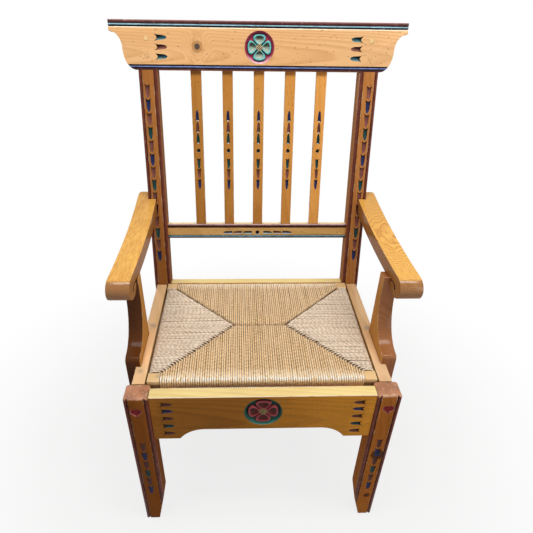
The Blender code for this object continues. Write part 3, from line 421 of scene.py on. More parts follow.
paints = {
    "bead": {"colour": (0.165, 0.044, 0.027), "wear": 0.4, "under": (0.42, 0.17, 0.08), "gloss": 0.1},
    # the leg tops' lighter paint is wear and a painted highlight on faces that look up
    "legTop": {"colour": (0.46, 0.198, 0.098), "wear": 0.75, "under": (0.7, 0.46, 0.29), "size": 0.6,
               "gloss": 0.5, "scratched": 0.5},
    "nose": {"colour": (0.085, 0.022, 0.019), "wear": 0.4, "under": (0.45, 0.24, 0.18), "gloss": 0.2},
    # lighter copies of bead and nose for faces that look up: wear and painted highlight
    "railBead": {"colour": (0.42, 0.3, 0.3), "wear": 0.6, "under": (0.7, 0.58, 0.54), "gloss": 0.35},
    "noseTop": {"colour": (0.23, 0.09, 0.086), "wear": 0.7, "under": (0.7, 0.5, 0.46), "gloss": 0.35},
    # hollow sets the painted shade and painted highlight inside the cuts
    "maroon": {"colour": (0.2, 0.066, 0.056), "wear": 0.2, "under": (0.42, 0.2, 0.11), "hollow": 0.8},
    "blue": {"colour": (0.012, 0.02, 0.09), "wear": 0.15, "under": (0.14, 0.16, 0.32), "hollow": 0.8},
    "green": {"colour": (0.006, 0.052, 0.052), "wear": 0.15, "under": (0.1, 0.22, 0.2), "hollow": 0.8},
    "teal": {"colour": (0.018, 0.09, 0.12), "wear": 0.2, "under": (0.2, 0.36, 0.38), "hollow": 0.8},
    "bandTeal": {"colour": (0.26, 0.48, 0.6), "wear": 0.3, "under": (0.55, 0.68, 0.74)},
    "bandBlue": {"colour": (0.185, 0.25, 0.6), "wear": 0.3, "under": (0.48, 0.54, 0.74)},
    "black": {"colour": (0.01, 0.008, 0.007), "wear": 0.1, "under": (0.08, 0.05, 0.04)},
    # darker copies of the bullet paints, as painted shade in the cuts
    "shadedMaroon": {"colour": (0.105, 0.03, 0.024), "wear": 0.2, "under": (0.28, 0.11, 0.06), "hollow": 0.6},
    "shadedBlue": {"colour": (0.012, 0.016, 0.085), "wear": 0.15, "under": (0.1, 0.11, 0.22), "hollow": 0.6},
    "shadedGreen": {"colour": (0.005, 0.042, 0.042), "wear": 0.15, "under": (0.07, 0.15, 0.14), "hollow": 0.6},
    # the lower rail's cuts: dark paint as painted shade, with a pale under colour for the painted highlight
    "railShadedMaroon": {"colour": (0.08, 0.024, 0.02), "wear": 0.1, "under": (0.78, 0.62, 0.54), "hollow": 0.85},
    "railShadedBlue": {"colour": (0.01, 0.014, 0.06), "wear": 0.1, "under": (0.66, 0.7, 0.76), "hollow": 0.85},
    "railShadedGreen": {"colour": (0.005, 0.03, 0.03), "wear": 0.1, "under": (0.66, 0.76, 0.74), "hollow": 0.85},
    # painted shade for the slot behind each arm's curl
    "slot": {"colour": (0.06, 0.024, 0.01), "wear": 0.2, "under": (0.2, 0.09, 0.04)},
    "heartRed": {"colour": (0.28, 0.019, 0.022), "wear": 0.2, "under": (0.45, 0.12, 0.1), "gloss": 0.08},
    "heartRim": {"colour": (0.42, 0.13, 0.105), "wear": 0.5, "under": (0.62, 0.36, 0.26)},
    # painted highlight, partly bare wood: the pale walls of cuts where they face up
    "cutStopHighlight": {"colour": (0.96, 0.88, 0.76), "wear": 0.15, "under": (0.8, 0.64, 0.44), "gloss": 0.4},
}
paintSlots = list(paints)
scratches = {"tint": (0.86, 0.68, 0.52), "runs": ((650, 70, 650), (110, 520, 110))}
paintGrain = {"shade": 60, "chips": 130, "gloss": 200, "brush": 420, "cutShadeReach": 0.009}


def slotOf(name):
    return 1 + paintSlots.index(name) if name else 0  # slot 0 is the board's own wood


def paint(name, colour, wear, under, size=1.0, gloss=0.18, scratched=0.0, hollow=0.0):
    made, shader = newMaterial("paint_" + name, **{"Specular IOR Level": gloss})
    place = objectPlace()
    shade = remap(noise(place, paintGrain["shade"] * size, 4, 0.6), 0.25, 0.75, 0.72, 1.28)
    joined = newNode("CombineColor")
    for socket in joined.inputs:
        connect(shade, socket)
    tinted = mixColour(1.0, colour, joined.outputs[0], "MULTIPLY")
    chips = remap(noise(place, paintGrain["chips"] * size, 4, 0.65), 0.58, 0.7, 0.0, wear)
    dark = toned(colour, 0.1)
    # painted shade deep in a cut
    cutShade = deepShade(paintGrain["cutShadeReach"], 0.95, 1.0)
    colour = mixColour(cutShade, mixColour(chips, tinted, under), dark)
    if hollow:
        # painted shade on the faces of a cut that look down, and a painted highlight of the under colour on
        # those that look up
        rise = facing(upward)
        colour = mixColour(remap(rise, 0.05, -0.45, 0.0, hollow), colour, dark)
        colour = mixColour(remap(rise, 0.35, 0.8, 0.0, hollow * 0.7), colour, under)
    if scratched:
        for run in scratches["runs"]:
            line = remap(noise(place, run, 1.0, 0.5, 0.6), 0.69, 0.74, 0.0, scratched)
            colour = mixColour(line, colour, scratches["tint"])
    connect(colour, shader["Base Color"])
    connect(remap(noise(place, paintGrain["gloss"]), 0.3, 0.7, 0.32, 0.55), shader["Roughness"])
    brush = less(noise(place, paintGrain["brush"], 3, 0.6), chips)
    connect(bump(brush, 0.0003, 0.45), shader["Normal"])
    return made


paintOf = {name: paint(name, **look) for name, look in paints.items()}
print("paints mixed,", len(paintOf))


# carving tools: each makes closed cutters in one mesh, painted by slot

bulletCut = {
    "rows": 10,
    "columns": 8,
    "lid": 0.0006,
    "least": 0.00005,
    "stopSlope": 0.0003,
    "taper": 3.0,
    "blunt": 0.55,
    "flareReach": 0.22,
    "rise": 1.8,
    "barbFall": 6,
}
outlineCut = {"lid": 0.0005, "dotSides": 18, "dotFloor": 0.9, "heartSides": 44, "heartFloor": 0.8}


def addGrid(shape, layers, slot, stopSlot):
    # a closed shell between two grids of points with the same rows and columns; the first row is the stop
    made = [[[shape.verts.new(p) for p in row] for row in layer] for layer in layers]
    low, high = made
    rows, columns = len(low), len(low[0])

    def addFace(corners, kind):
        shape.faces.new(corners).material_index = kind

    for i in range(rows - 1):
        kind = slot if i else stopSlot
        for j in range(columns - 1):
            for layer in made:
                addFace((layer[i][j], layer[i][j + 1], layer[i + 1][j + 1], layer[i + 1][j]), kind)
        for j in (0, columns - 1):
            addFace((low[i][j], low[i + 1][j], high[i + 1][j], high[i][j]), kind)
    for j in range(columns - 1):
        for i in (0, rows - 1):
            addFace((low[i][j], low[i][j + 1], high[i][j + 1], high[i][j]), stopSlot)


def cutBullet(shape, space, face, spot, heading, size, name, stopName=None):
    # a gouge cut: a curved stop at its wide end, rising to the face at its tip
    cut = bulletCut
    ahead = Vector(heading)
    across = Vector((-ahead.y, ahead.x))
    layers = ([], [])
    for lid, layer in enumerate(layers):
        for i in range(-1, cut["rows"] + 1):
            share = max(0, i) / cut["rows"]
            lip = size.get("lip", cut["stopSlope"]) if i < 0 else 0
            half = size["width"] / 2 * (1 - share ** cut["taper"]) ** cut["blunt"]
            half = max(half + size["flare"] * max(0, 1 - share / cut["flareReach"]) ** 2, cut["least"])
            deep = size["depth"] * (1 - share ** cut["rise"]) if i >= 0 else 0
            row = []
            for j in range(cut["columns"] + 1):
                c = 2 * j / cut["columns"] - 1
                arch = (1 - c * c) ** 0.5
                barb = size["barb"] * c * c * (1 - share) ** cut["barbFall"]
                reach = share * size["length"] - barb - lip * arch
                flat = Vector(spot) + ahead * reach + across * (half * c)
                depth = -cut["lid"] if lid else max(cut["least"], deep * arch)
                row.append(space @ Vector((flat.x, face + depth, flat.y)))
            layer.append(row)
    addGrid(shape, layers, slotOf(name), slotOf(stopName))


def cutOutline(shape, space, face, spot, outline, steps, name=None, wallName=None):
    # a sunk shape: the outline drawn in towards its middle at each step of depth and scale
    rings = []
    for depth, scale in steps:
        flat = [(spot[0] + x * scale, spot[1] + z * scale) for x, z in outline]
        rings.append([shape.verts.new(space @ Vector((x, face + depth, z))) for x, z in flat])
    for low, high in zip(rings, rings[1:]):
        for i in range(len(outline)):
            j = (i + 1) % len(outline)
            wall = shape.faces.new((low[i], low[j], high[j], high[i]))
            wall.material_index = slotOf(wallName or name)
    for ring in (rings[0], rings[-1]):
        shape.faces.new(ring).material_index = slotOf(name)


def circle(radius, count):
    angles = [2 * math.pi * i / count for i in range(count)]
    return [(radius * math.cos(angle), radius * math.sin(angle)) for angle in angles]


def cutDot(shape, space, face, spot, size, name, wallName):
    cut = outlineCut
    steps = [(-cut["lid"], 1), (0.0, 1), (size["depth"], cut["dotFloor"])]
    cutOutline(shape, space, face, spot, circle(size["radius"], cut["dotSides"]), steps, name, wallName)


def cutHeart(shape, space, face, spot, size, name, wallName):
    cut = outlineCut
    outline = []
    for i in range(cut["heartSides"]):
        t = 2 * math.pi * i / cut["heartSides"]
        x = math.sin(t) ** 3  # the usual heart curve
        z = 13 * math.cos(t) - 5 * math.cos(2 * t) - 2 * math.cos(3 * t) - math.cos(4 * t) + 2.5
        if math.cos(t) > 0:
            z += 4.2 * math.exp(-((x / 0.3) ** 2))  # only a shallow notch between the lobes
        outline.append((x * size["width"] / 2, z / 14.5 * size["height"] / 2))
    steps = [(-cut["lid"], 1), (0.0, 1), (size["depth"], cut["heartFloor"])]
    cutOutline(shape, space, face, spot, outline, steps, name, wallName)


# boards: copies of the solids with eased edges, carving and paint

boardCut = {"merge": 0.00002, "mergeCarved": 0.000005, "flat": 0.2, "sharp": 50, "roundSteps": 4}


def fillSlots(piece, wood):
    for made in (wood, *paintOf.values()):
        piece.data.materials.append(made)


def roundEdges(shape, edges, radius, segments):
    return bmesh.ops.bevel(shape, geom=edges, offset=radius, offset_type="OFFSET", segments=segments,
                           profile=0.5, affect="EDGES", clamp_overlap=True)


def boardFrom(node, wood, ease, segments=2, test=None, corners=None, radius=0.0):
    # eases the sharp edges that pass the test, after rounding the edges that the corners rule names
    shape = bmesh.new()
    shape.from_mesh(nodes[node].data)
    bmesh.ops.remove_doubles(shape, verts=shape.verts, dist=boardCut["merge"])
    flat = math.radians(boardCut["flat"])
    bmesh.ops.dissolve_limit(shape, angle_limit=flat, verts=shape.verts, edges=shape.edges)
    bmesh.ops.recalc_face_normals(shape, faces=shape.faces)
    arris = shape.faces.layers.float.new("arris")
    if corners:
        roundEdges(shape, [edge for edge in shape.edges if corners(edge)], radius, boardCut["roundSteps"])
    edges = []
    for edge in shape.edges:
        if len(edge.link_faces) == 2 and edge.is_convex:
            if edge.calc_face_angle() > math.radians(boardCut["sharp"]) and (test is None or test(edge)):
                edges.append(edge)
    if ease and edges:
        for face in roundEdges(shape, edges, ease, segments)["faces"]:
            face[arris] = 1.0
    mesh = meshFrom(shape, node + "_wood")
    for name in ("custom_normal", "sharp_face", "sharp_edge"):
        if mesh.attributes.get(name):
            mesh.attributes.remove(mesh.attributes[name])
    board = addObject(node + "_wood", mesh)
    fillSlots(board, wood)
    return board


def carve(board, shape):
    bmesh.ops.recalc_face_normals(shape, faces=shape.faces)
    cutter = addObject("cutter", meshFrom(shape, "cutter"))
    fillSlots(cutter, board.data.materials[0])
    step = board.modifiers.new("carving", "BOOLEAN")
    step.object = cutter
    step.solver = "EXACT"
    graph = bpy.context.evaluated_depsgraph_get()
    carved = bpy.data.meshes.new_from_object(board.evaluated_get(graph))
    board.modifiers.clear()
    board.data = carved
    bpy.data.objects.remove(cutter)
    clean = bmesh.new()
    clean.from_mesh(carved)
    bmesh.ops.remove_doubles(clean, verts=clean.verts, dist=boardCut["mergeCarved"])
    bmesh.ops.dissolve_degenerate(clean, edges=clean.edges, dist=boardCut["mergeCarved"])
    clean.to_mesh(carved)
    clean.free()


def paintFaces(board, space, rule):
    # paints the wood faces that the rule names, by their middle and normal in that space
    back = space.inverted()
    turn = back.to_3x3()
    for face in board.data.polygons:
        if face.material_index == 0:
            face.material_index = slotOf(rule(back @ face.center, turn @ face.normal))


def bandRule(look):
    # bands and grooves of a moulded rail, by their rise over its foot
    def rule(place, normal):
        rise, depth = place.z - look["foot"], place.y - look["front"]
        onTop = normal.z > 0.8 and rise > look["topFrom"]
        if abs(normal.x) > 0.9 or (depth > look["bandDepth"] and not onTop):
            return None
        for low, high, name in look["bands"]:
            isNose = name == look["nose"]
            if low < rise < high and (isNose or depth < look["grooveFloor"]):
                # faces of the nose that look up take a lighter paint: wear and painted highlight
                return look["rubbedAndLit"] if isNose and normal.z > look["rubbedAndLitFrom"] else name
        return "black" if any(low < rise < high for low, high in look["grooves"]) else None

    return rule


def dress(board, node, crease=30):
    # keeps only the materials that show, sets the shading and puts the piece in the node's place
    mesh = board.data
    shown = [face.material_index for face in mesh.polygons]
    used = sorted(set(shown))
    kept = [mesh.materials[i] for i in used]
    mesh.materials.clear()
    for made in kept:
        mesh.materials.append(made)
    for face, index in zip(mesh.polygons, shown):
        face.material_index = used.index(index)
    mesh.shade_smooth()
    mesh.set_sharp_from_angle(angle=math.radians(crease))
    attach(board, nodes[node]["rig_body"])
    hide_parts(node)


def cutColumn(shape, space, look, sign):
    # bullets one under another down a leg or a post, with their tips down
    for i, name in enumerate(look["paints"]):
        spot = (sign * look["bulletX"], look["bulletTop"] - look["bulletStep"] * i)
        cutBullet(shape, space, 0, spot, (0, -1), look["bullet"], name)


# front legs
legLook = {
    "ease": 0.0011,
    "easeBelow": 0.43,
    "heartSpot": (0.2655, 0.3965),
    "heart": {"width": 0.0274, "height": 0.0256, "depth": 0.0022},
    "bulletX": 0.264,
    "bulletTop": 0.2977,
    "bulletStep": 0.0324,
    "paints": ("shadedMaroon", "shadedBlue", "shadedMaroon", "shadedGreen", "shadedMaroon", "shadedBlue"),
    "bullet": {"length": 0.0275, "width": 0.0108, "flare": 0.0016, "barb": 0.0042, "depth": 0.0042},
    "groove": 0.0162,  # bead's inner edge from the middle of the leg
    "beadDepth": 0.0041,
    "topEase": 0.0037,
    "topRim": 0.004,
    "backRound": 0.0046,
    "longEdge": 0.2,
    "rimEdge": 0.005,
    "knots": {"left": [], "right": [((0.268, 0.2457), 0.0165, 0.95), ((0.266, 0.0823), 0.0085, 0.95)]},
    "knotDepth": 0.004,
    # painted light: the left leg darker than the right
    "paintedLightShades": {"left": 0.67, "right": 1.06},
    "chipSpots": {"left": (-0.2803, 0.4195), "right": None},
    "chip": {"radius": 0.0034, "depth": 0.0024},
}


def makeLeg(side):
    node = side + "_front_leg"
    look = legLook
    sign = sides[side]
    knots = []
    for (x, z), reach, fill in look["knots"][side]:
        knots.append((frontFrame @ Vector((x, look["knotDepth"], z)), reach, fill))
    wood = pine(node + "_pine", "Z", middleOf(node), "leg", 3 + sign, contrast=0.5,
                shade=look["paintedLightShades"][side], knots=knots, lacquer=0.03)
    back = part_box(node)[1].y
    top = chairPlan["seatHeight"]

    def atBack(edge):
        # the two rear corners, up through the eased rim of the top
        length = edge.calc_length()
        gap = back - min(v.co.y for v in edge.verts)
        isHigh = all(v.co.z > top - look["topRim"] for v in edge.verts)
        isLong = length > look["longEdge"] and gap < 0.0005
        isRim = length < look["rimEdge"] and gap < look["topEase"] and isHigh
        return (isLong or isRim) and edge.is_convex and edge.calc_face_angle(0) > math.radians(30)

    def isLow(edge):
        return any(v.co.z < look["easeBelow"] for v in edge.verts)

    board = boardFrom(node, wood, look["ease"], 2, isLow, atBack, look["backRound"])
    tools = bmesh.new()
    x, z = look["heartSpot"]
    cutHeart(tools, frontFrame, 0, (sign * x, z), look["heart"], "heartRed", "heartRim")
    cutColumn(tools, frontFrame, look, sign)
    if look["chipSpots"][side]:
        cutDot(tools, frontFrame, 0, look["chipSpots"][side], look["chip"], "black", "black")
    carve(board, tools)
    mid = sign * chairPlan["legMid"]

    def rule(place, normal):
        # faces that look up take the lighter top paint
        if place.z > top - look["topEase"] and normal.z > 0.15:
            return "legTop"
        if abs(place.x - mid) > look["groove"] and place.y < look["beadDepth"]:
            return "bead"
        return None

    paintFaces(board, frontFrame, rule)
    dress(board, node)


for side in sides:
    makeLeg(side)
print("legs carved")

# back posts
postLook = {
    "ease": 0.0011,
    "easeBelow": 0.965,
    "bulletX": 0.2645,
    "bulletTop": 0.5085,
    "bulletStep": 0.0317,
    "paints": ("maroon", "blue", "maroon", "green") * 3 + ("maroon", "blue"),
    "bullet": {"length": 0.0278, "width": 0.0102, "flare": 0.0016, "barb": 0.0044, "depth": 0.0042},
    "groove": 0.0132,
    # painted light: the left post darker than the right, and darker towards one end
    "paintedLightShades": {"left": 0.84, "right": 1.0},
    "endShade": (-0.35, 0.35, 0.5),
}


def makePost(side):
    node = side + "_back_post"
    look = postLook
    sign = sides[side]
    wood = pine(node + "_pine", "rake", middleOf(node), "post", 6 + sign, contrast=0.5,
                shade=look["paintedLightShades"][side], endShade=look["endShade"])
    board = boardFrom(node, wood, look["ease"], 2,
                      lambda e: e.calc_length() > 0.05 and e.verts[0].co.z < look["easeBelow"])
    tools = bmesh.new()
    cutColumn(tools, backFrame, look, sign)
    carve(board, tools)
    mid = sign * chairPlan["postMid"]

    def rule(place, normal):
        isFront = abs(normal.x) < 0.9995 and normal.y < 0.2 and abs(normal.z) < 0.7
        return "bead" if isFront and abs(place.x - mid) > look["groove"] else None

    paintFaces(board, backFrame, rule)
    dress(board, node)


for side in sides:
    makePost(side)
print("posts carved")


# carved flowers: a round inset of each board, with its own relief

flowerLook = {
    "petals": 4,
    "depth": 0.0068,
    "floor": 0.0016,  # wood left behind the relief
    "gap": 0.00008,
    "rings": 60,
    "turns": 168,
    "petal": {"middle": 0.455, "half": 0.328, "wide": 0.368, "splay": 0.4, "rim": 0.0004, "hollow": 0.005},
    "boss": {"radius": 0.225, "rise": 0.0002, "fall": 0.0014, "hatch": 0.0048, "cut": 0.0012},
    "marks": ("petal", "rim", "boss", "hatch", "upperShade", "rubbedAndLit"),
    "reliefShade": (0.012, 0.01, 0.009),
    "hatching": (0.022, 0.012, 0.008),
}


def cutPocket(shape, space, look):
    steps = [(-0.0008, 1), (flowerLook["depth"] + flowerLook["floor"], 1)]
    ring = circle(look["flower"]["radius"], 72)
    cutOutline(shape, space, look["front"], (0, look["flower"]["rise"]), ring, steps)


def flowerRelief(x, z, radius):
    # depth below the board's face, and how far the point carries each mark
    look = flowerLook
    reach = math.hypot(x, z) / radius
    depth = look["depth"] * smooth(1 - reach, -0.02, 0.24)
    petal = look["petal"]
    nearest, upperShade = 9.0, 0.0
    for i in range(look["petals"]):
        turn = 2 * math.pi * i / look["petals"]
        u = (x * math.cos(turn) + z * math.sin(turn)) / radius
        v = (-x * math.sin(turn) + z * math.cos(turn)) / radius
        a = (u - petal["middle"]) / petal["half"]
        wide = petal["wide"] * (1 + petal["splay"] * a)
        if wide > 0.02:
            power = 2.3 if a > 0 else 1.7  # full outside, pointed at the boss
            near = (abs(a) ** power + abs(v / wide) ** power) ** (1 / power)
            if near < nearest:
                nearest = near
                # painted shade in its upper part
                upperShade = smooth(z / radius - petal["middle"] * math.sin(turn), -0.06, 0.15)
    # the lower lip is worn paler and carries a painted highlight
    rubbedAndLit = smooth(reach, 0.8, 0.95) * smooth(-z / radius, 0.35, 0.95)  # lower lip, worn pale
    isPetal = 1 - smooth(nearest, 1.02, 1.07)
    rim = smooth(nearest, 0.66, 0.82) * isPetal
    upperShade *= isPetal * (1 - smooth(nearest, 0.7, 0.84))
    if nearest < 1.15:
        leaf = petal["rim"] + petal["hollow"] * (1 - smooth(nearest, 0.2, 0.84))
        leaf += (look["depth"] - petal["rim"]) * smooth(nearest, 0.93, 1.09)
        depth = min(depth, leaf)
    boss = look["boss"]
    out = reach / boss["radius"]
    isBoss = 1 - smooth(out, 0.94, 1.02)
    hatch = 0.0
    if out < 1.1:
        dome = boss["rise"] + boss["fall"] * out**2
        dome += (look["depth"] - dome) * smooth(out, 0.95, 1.1)
        a, b = (x + z) / boss["hatch"], (x - z) / boss["hatch"]
        hatch = max(abs(math.cos(math.pi * a)), abs(math.cos(math.pi * b))) ** 3 * isBoss
        depth = min(depth, dome + boss["cut"] * hatch)
    return depth, (isPetal, rim, isBoss, hatch, upperShade, rubbedAndLit)


def flowerPaint(name, ground, lip, petal, hollow, boss):
    made, shader = newMaterial(name, **{"Roughness": 0.4, "Specular IOR Level": 0.14})
    place = objectPlace()
    dab = noise(place, 240, 4, 0.65)
    colour = mixColour(remap(dab, 0.3, 0.7), toned(ground, 0.75), toned(ground, 1.25))
    # lower lip: wear and painted highlight
    colour = mixColour(times(attribute("rubbedAndLit"), remap(dab, 0.3, 0.6, 0.5, 1.0)), colour, lip)
    streak = remap(noise(place, (900, 900, 300), 3), 0.35, 0.7, 0.0, 0.8)
    inner = mixColour(streak, toned(hollow, 0.55), hollow)
    colour = mixColour(attribute("petal"), colour, mixColour(attribute("rim"), inner, petal))
    # painted shade in the upper part of the petals' hollows
    colour = mixColour(times(attribute("upperShade"), 0.92), colour, toned(hollow, 0.1))
    # painted shade deep in the relief
    colour = mixColour(deepShade(0.0045, 0.9, 0.9), colour, flowerLook["reliefShade"])
    colour = mixColour(attribute("boss"), colour, boss)
    colour = mixColour(attribute("hatch"), colour, flowerLook["hatching"])
    connect(colour, shader["Base Color"])
    connect(bump(dab, 0.0004, 0.5), shader["Normal"])
    return made


def makeFlower(name, node, space, look):
    made = flowerPaint(name + "_paint", **look["flowerPaint"])
    radius, rise = look["flower"]["radius"], look["flower"]["rise"]
    outer = radius - flowerLook["gap"]
    rings, turns = flowerLook["rings"], flowerLook["turns"]
    points, marks, faces = [], [], []

    def addPoint(x, depth, z, shares):
        points.append(space @ Vector((x, look["front"] + depth, rise + z)))
        marks.append(shares)

    for i in range(rings + 1):
        for x, z in circle(outer * (i / rings) ** 0.85, turns)[:turns if i else 1]:
            depth, shares = flowerRelief(x, z, radius)
            addPoint(x, depth, z, shares)
    for x, z in circle(outer, turns):
        addPoint(x, flowerLook["depth"] + flowerLook["floor"] - flowerLook["gap"], z, (0,) * 6)
    for j in range(turns):
        k = (j + 1) % turns
        faces.append((0, 1 + j, 1 + k))
        for i in range(rings):
            row = 1 + i * turns
            faces.append((row + j, row + turns + j, row + turns + k, row + k))
    faces.append(tuple(range(1 + rings * turns, 1 + rings * turns + turns)))
    mesh = bpy.data.meshes.new(name)
    mesh.from_pydata(points, [], faces)
    shape = bmesh.new()
    shape.from_mesh(mesh)
    bmesh.ops.recalc_face_normals(shape, faces=shape.faces)
    shape.to_mesh(mesh)
    shape.free()
    for mark, values in zip(flowerLook["marks"], zip(*marks)):
        addMark(mesh, mark, values)
    mesh.materials.append(made)
    mesh.shade_smooth()
    mesh.set_sharp_from_angle(angle=math.radians(50))
    flower = addObject(name, mesh)
    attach(flower, nodes[node]["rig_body"])


def cutEnds(shape, space, look):
    # a column of bullets at each end of a board, with their tips to the middle
    for sign in sides.values():
        for rise, name in zip(look["rises"], look["paints"]):
            spot = (sign * look["bulletX"], rise)
            cutBullet(shape, space, look["front"], spot, (-sign, 0), look["bullet"], name)


# crest rail
crestLook = {
    "front": 0.007,
    "foot": 0.5423,
    "bands": ((0.0964, 0.2, "nose"), (0.093, 0.0961, "bandTeal"), (0.0056, 0.0085, "bandBlue"),
              (-0.01, 0.003, "nose")),
    "grooves": ((0.0895, 0.0964), (0.0029, 0.0119)),
    "grooveFloor": 0.0017,
    "bandDepth": 0.0042,
    "topFrom": 0.1,
    "nose": "nose",
    "rubbedAndLit": "noseTop",
    "rubbedAndLitFrom": 0.45,
    "bulletX": 0.2367,
    "rises": (0.6105, 0.5906, 0.5706),
    "paints": ("teal", "maroon", "teal"),
    "bullet": {"length": 0.0232, "width": 0.0108, "flare": 0.002, "barb": 0.0062, "depth": 0.0056},
    "knot": (-0.1446, 0.592, 0.0112),
    "halo": {"reach": 0.026, "tint": (0.62, 0.31, 0.11), "strength": 0.65},
    "edge": {"rise": 0.08955, "ease": 0.003},
    "flower": {"rise": 0.592, "radius": 0.0347},
    "flowerPaint": {"ground": (0.36, 0.04, 0.085), "lip": (0.9, 0.56, 0.66), "petal": (0.135, 0.58, 0.58),
                    "hollow": (0.5, 0.62, 0.52), "boss": (0.9, 0.7, 0.42)},
}


def makeCrest():
    node = "crest_rail"
    look = crestLook
    x, rise, reach = look["knot"]
    spot = backFrame @ Vector((x, look["front"], rise))
    halo = look["halo"]
    wood = pine(node + "_pine", "crest", middleOf(node), "crest", 2, pith=(0.02, 0.05), lean=(0.01, 0.05),
                contrast=0.75, endShade=(0.3, -0.25, 0.18), edgeWearAndLight=0.95, knots=[(spot, reach, 0.6)],
                patches=[(spot, halo["reach"], halo["tint"], halo["strength"])])
    back = backFrame.inverted()
    edgeRise = look["foot"] + look["edge"]["rise"]

    def isLip(edge):
        places = [back @ v.co for v in edge.verts]
        return all(abs(p.z - edgeRise) < 0.0004 and p.y - look["front"] < 0.0005 for p in places)

    board = boardFrom(node, wood, look["edge"]["ease"], 2, isLip)
    tools = bmesh.new()
    cutEnds(tools, backFrame, look)
    cutPocket(tools, backFrame, look)
    carve(board, tools)
    paintFaces(board, backFrame, bandRule(look))
    dress(board, node)


makeCrest()
makeFlower("crest_flower", "crest_rail", backFrame, crestLook)
print("crest carved")

# front apron
wornAndLitTop = ((0.99, 0.8, 0.36), 0.95)
apronLook = {
    "ease": 0.0012,
    "front": 0.003,
    "thick": 0.031,
    "tenon": 0.022,
    "bulletX": 0.2117,
    "rises": (0.4195, 0.3995, 0.3766, 0.353, 0.3293),
    "paints": ("shadedMaroon", "shadedBlue", "shadedMaroon", "shadedGreen", "shadedMaroon"),
    "bullet": {"length": 0.0226, "width": 0.0104, "flare": 0.002, "barb": 0.0048, "depth": 0.0056},
    "flower": {"rise": 0.3935, "radius": 0.0405},
    "flowerPaint": {"ground": (0.012, 0.085, 0.064), "lip": (0.07, 0.27, 0.23), "petal": (0.43, 0.072, 0.085),
                    "hollow": (0.19, 0.03, 0.028), "boss": (0.66, 0.46, 0.2)},
}


def makeApron():
    node = "front_apron"
    look = apronLook
    wood = pine(node + "_pine", "X", middleOf(node), "apron", 5, lean=(0.02, 0.05), contrast=0.45, top=wornAndLitTop,
                edgeWearAndLight=0.9, endShade=(-0.08, 0.17, 0.8), figure=0.2, year=0.008)
    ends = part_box(node)[1].x - look["tenon"]
    flower = look["flower"]

    def isOuter(edge):
        # the board's own edges, without the flower's rim, the back and the tenons
        middle = (edge.verts[0].co + edge.verts[1].co) / 2
        length = edge.calc_length()
        away = math.hypot(middle.x, middle.z - flower["rise"]) > flower["radius"] * 1.02 or length > 0.1
        isFront = max(v.co.y for v in edge.verts) - legFront < look["thick"]
        return away and isFront and (length > 0.3 or all(abs(v.co.x) < ends for v in edge.verts))

    board = boardFrom(node, wood, look["ease"], 2, isOuter)
    tools = bmesh.new()
    cutEnds(tools, frontFrame, look)
    cutPocket(tools, frontFrame, look)
    carve(board, tools)
    dress(board, node)


makeApron()
makeFlower("apron_flower", "front_apron", frontFrame, apronLook)
print("apron carved")

# lower back rail and slats
lowerLook = {
    "front": 0.0115,
    "foot": 0.131,
    "face": 0.146,
    "bands": ((0.0303, 0.05, "bead"), (0.0034, 0.0063, "bandTeal"), (-0.01, 0.0012, "bead")),
    "grooves": ((0.0281, 0.0304), (0.0011, 0.0085)),
    "grooveFloor": 0.0013,
    "bandDepth": 0.004,
    "topFrom": 1.0,  # its top stays wood
    "nose": "bead",
    "rubbedAndLit": "railBead",
    "rubbedAndLitFrom": 0.3,
    "starts": (0.0165, 0.0432, 0.069),
    "paints": ("railShadedGreen", "railShadedMaroon", "railShadedBlue"),
    "bullet": {"length": 0.0237, "width": 0.008, "flare": 0.0009, "barb": 0.0026, "depth": 0.0034,
               "lip": 0.001},
    "dot": {"radius": 0.0058, "depth": 0.0044},
    "top": ((1.0, 0.8, 0.43), 1.0),
}
slatLook = {
    "ease": 0.0008,
    "front": 0.015,
    "pitch": 0.0753,
    "count": 5,
    "up": (0.4314, 0.4045, 0.3782),  # wide ends of the cuts that point up, and below of those that point down
    "down": (0.2845, 0.3108, 0.3365),
    "paints": ("blue", "maroon", "green"),
    "bullet": {"length": 0.0234, "width": 0.0076, "flare": 0.0009, "barb": 0.0028, "depth": 0.0036,
               "lip": 0.0017},
    "dotRise": 0.3587,
    "dot": {"radius": 0.0048, "depth": 0.0046},
    # painted light, with some natural variation: slats darker to the left and towards their lower ends
    "paintedLightShades": (0.68, 0.76, 0.85, 0.95, 1.1),
    "endShades": (0.25, 0.3, 0.4, 0.25, 0.0),
}


def makeLowerRail():
    node = "lower_back_rail"
    look = lowerLook
    wood = pine(node + "_pine", "crest", middleOf(node), "rail", 9, contrast=0.5, shade=0.8, top=look["top"])
    board = boardFrom(node, wood, 0)
    tools = bmesh.new()
    for sign in sides.values():
        for start, name in zip(look["starts"], look["paints"]):
            spot = (sign * start, look["face"])
            # the stops of these cuts, and the dot's wall, get the painted highlight
            cutBullet(tools, backFrame, look["front"], spot, (sign, 0), look["bullet"], name, "cutStopHighlight")
    cutDot(tools, backFrame, look["front"], (0, look["face"]), look["dot"], "black", "cutStopHighlight")
    carve(board, tools)
    paintFaces(board, backFrame, bandRule(look))
    dress(board, node)


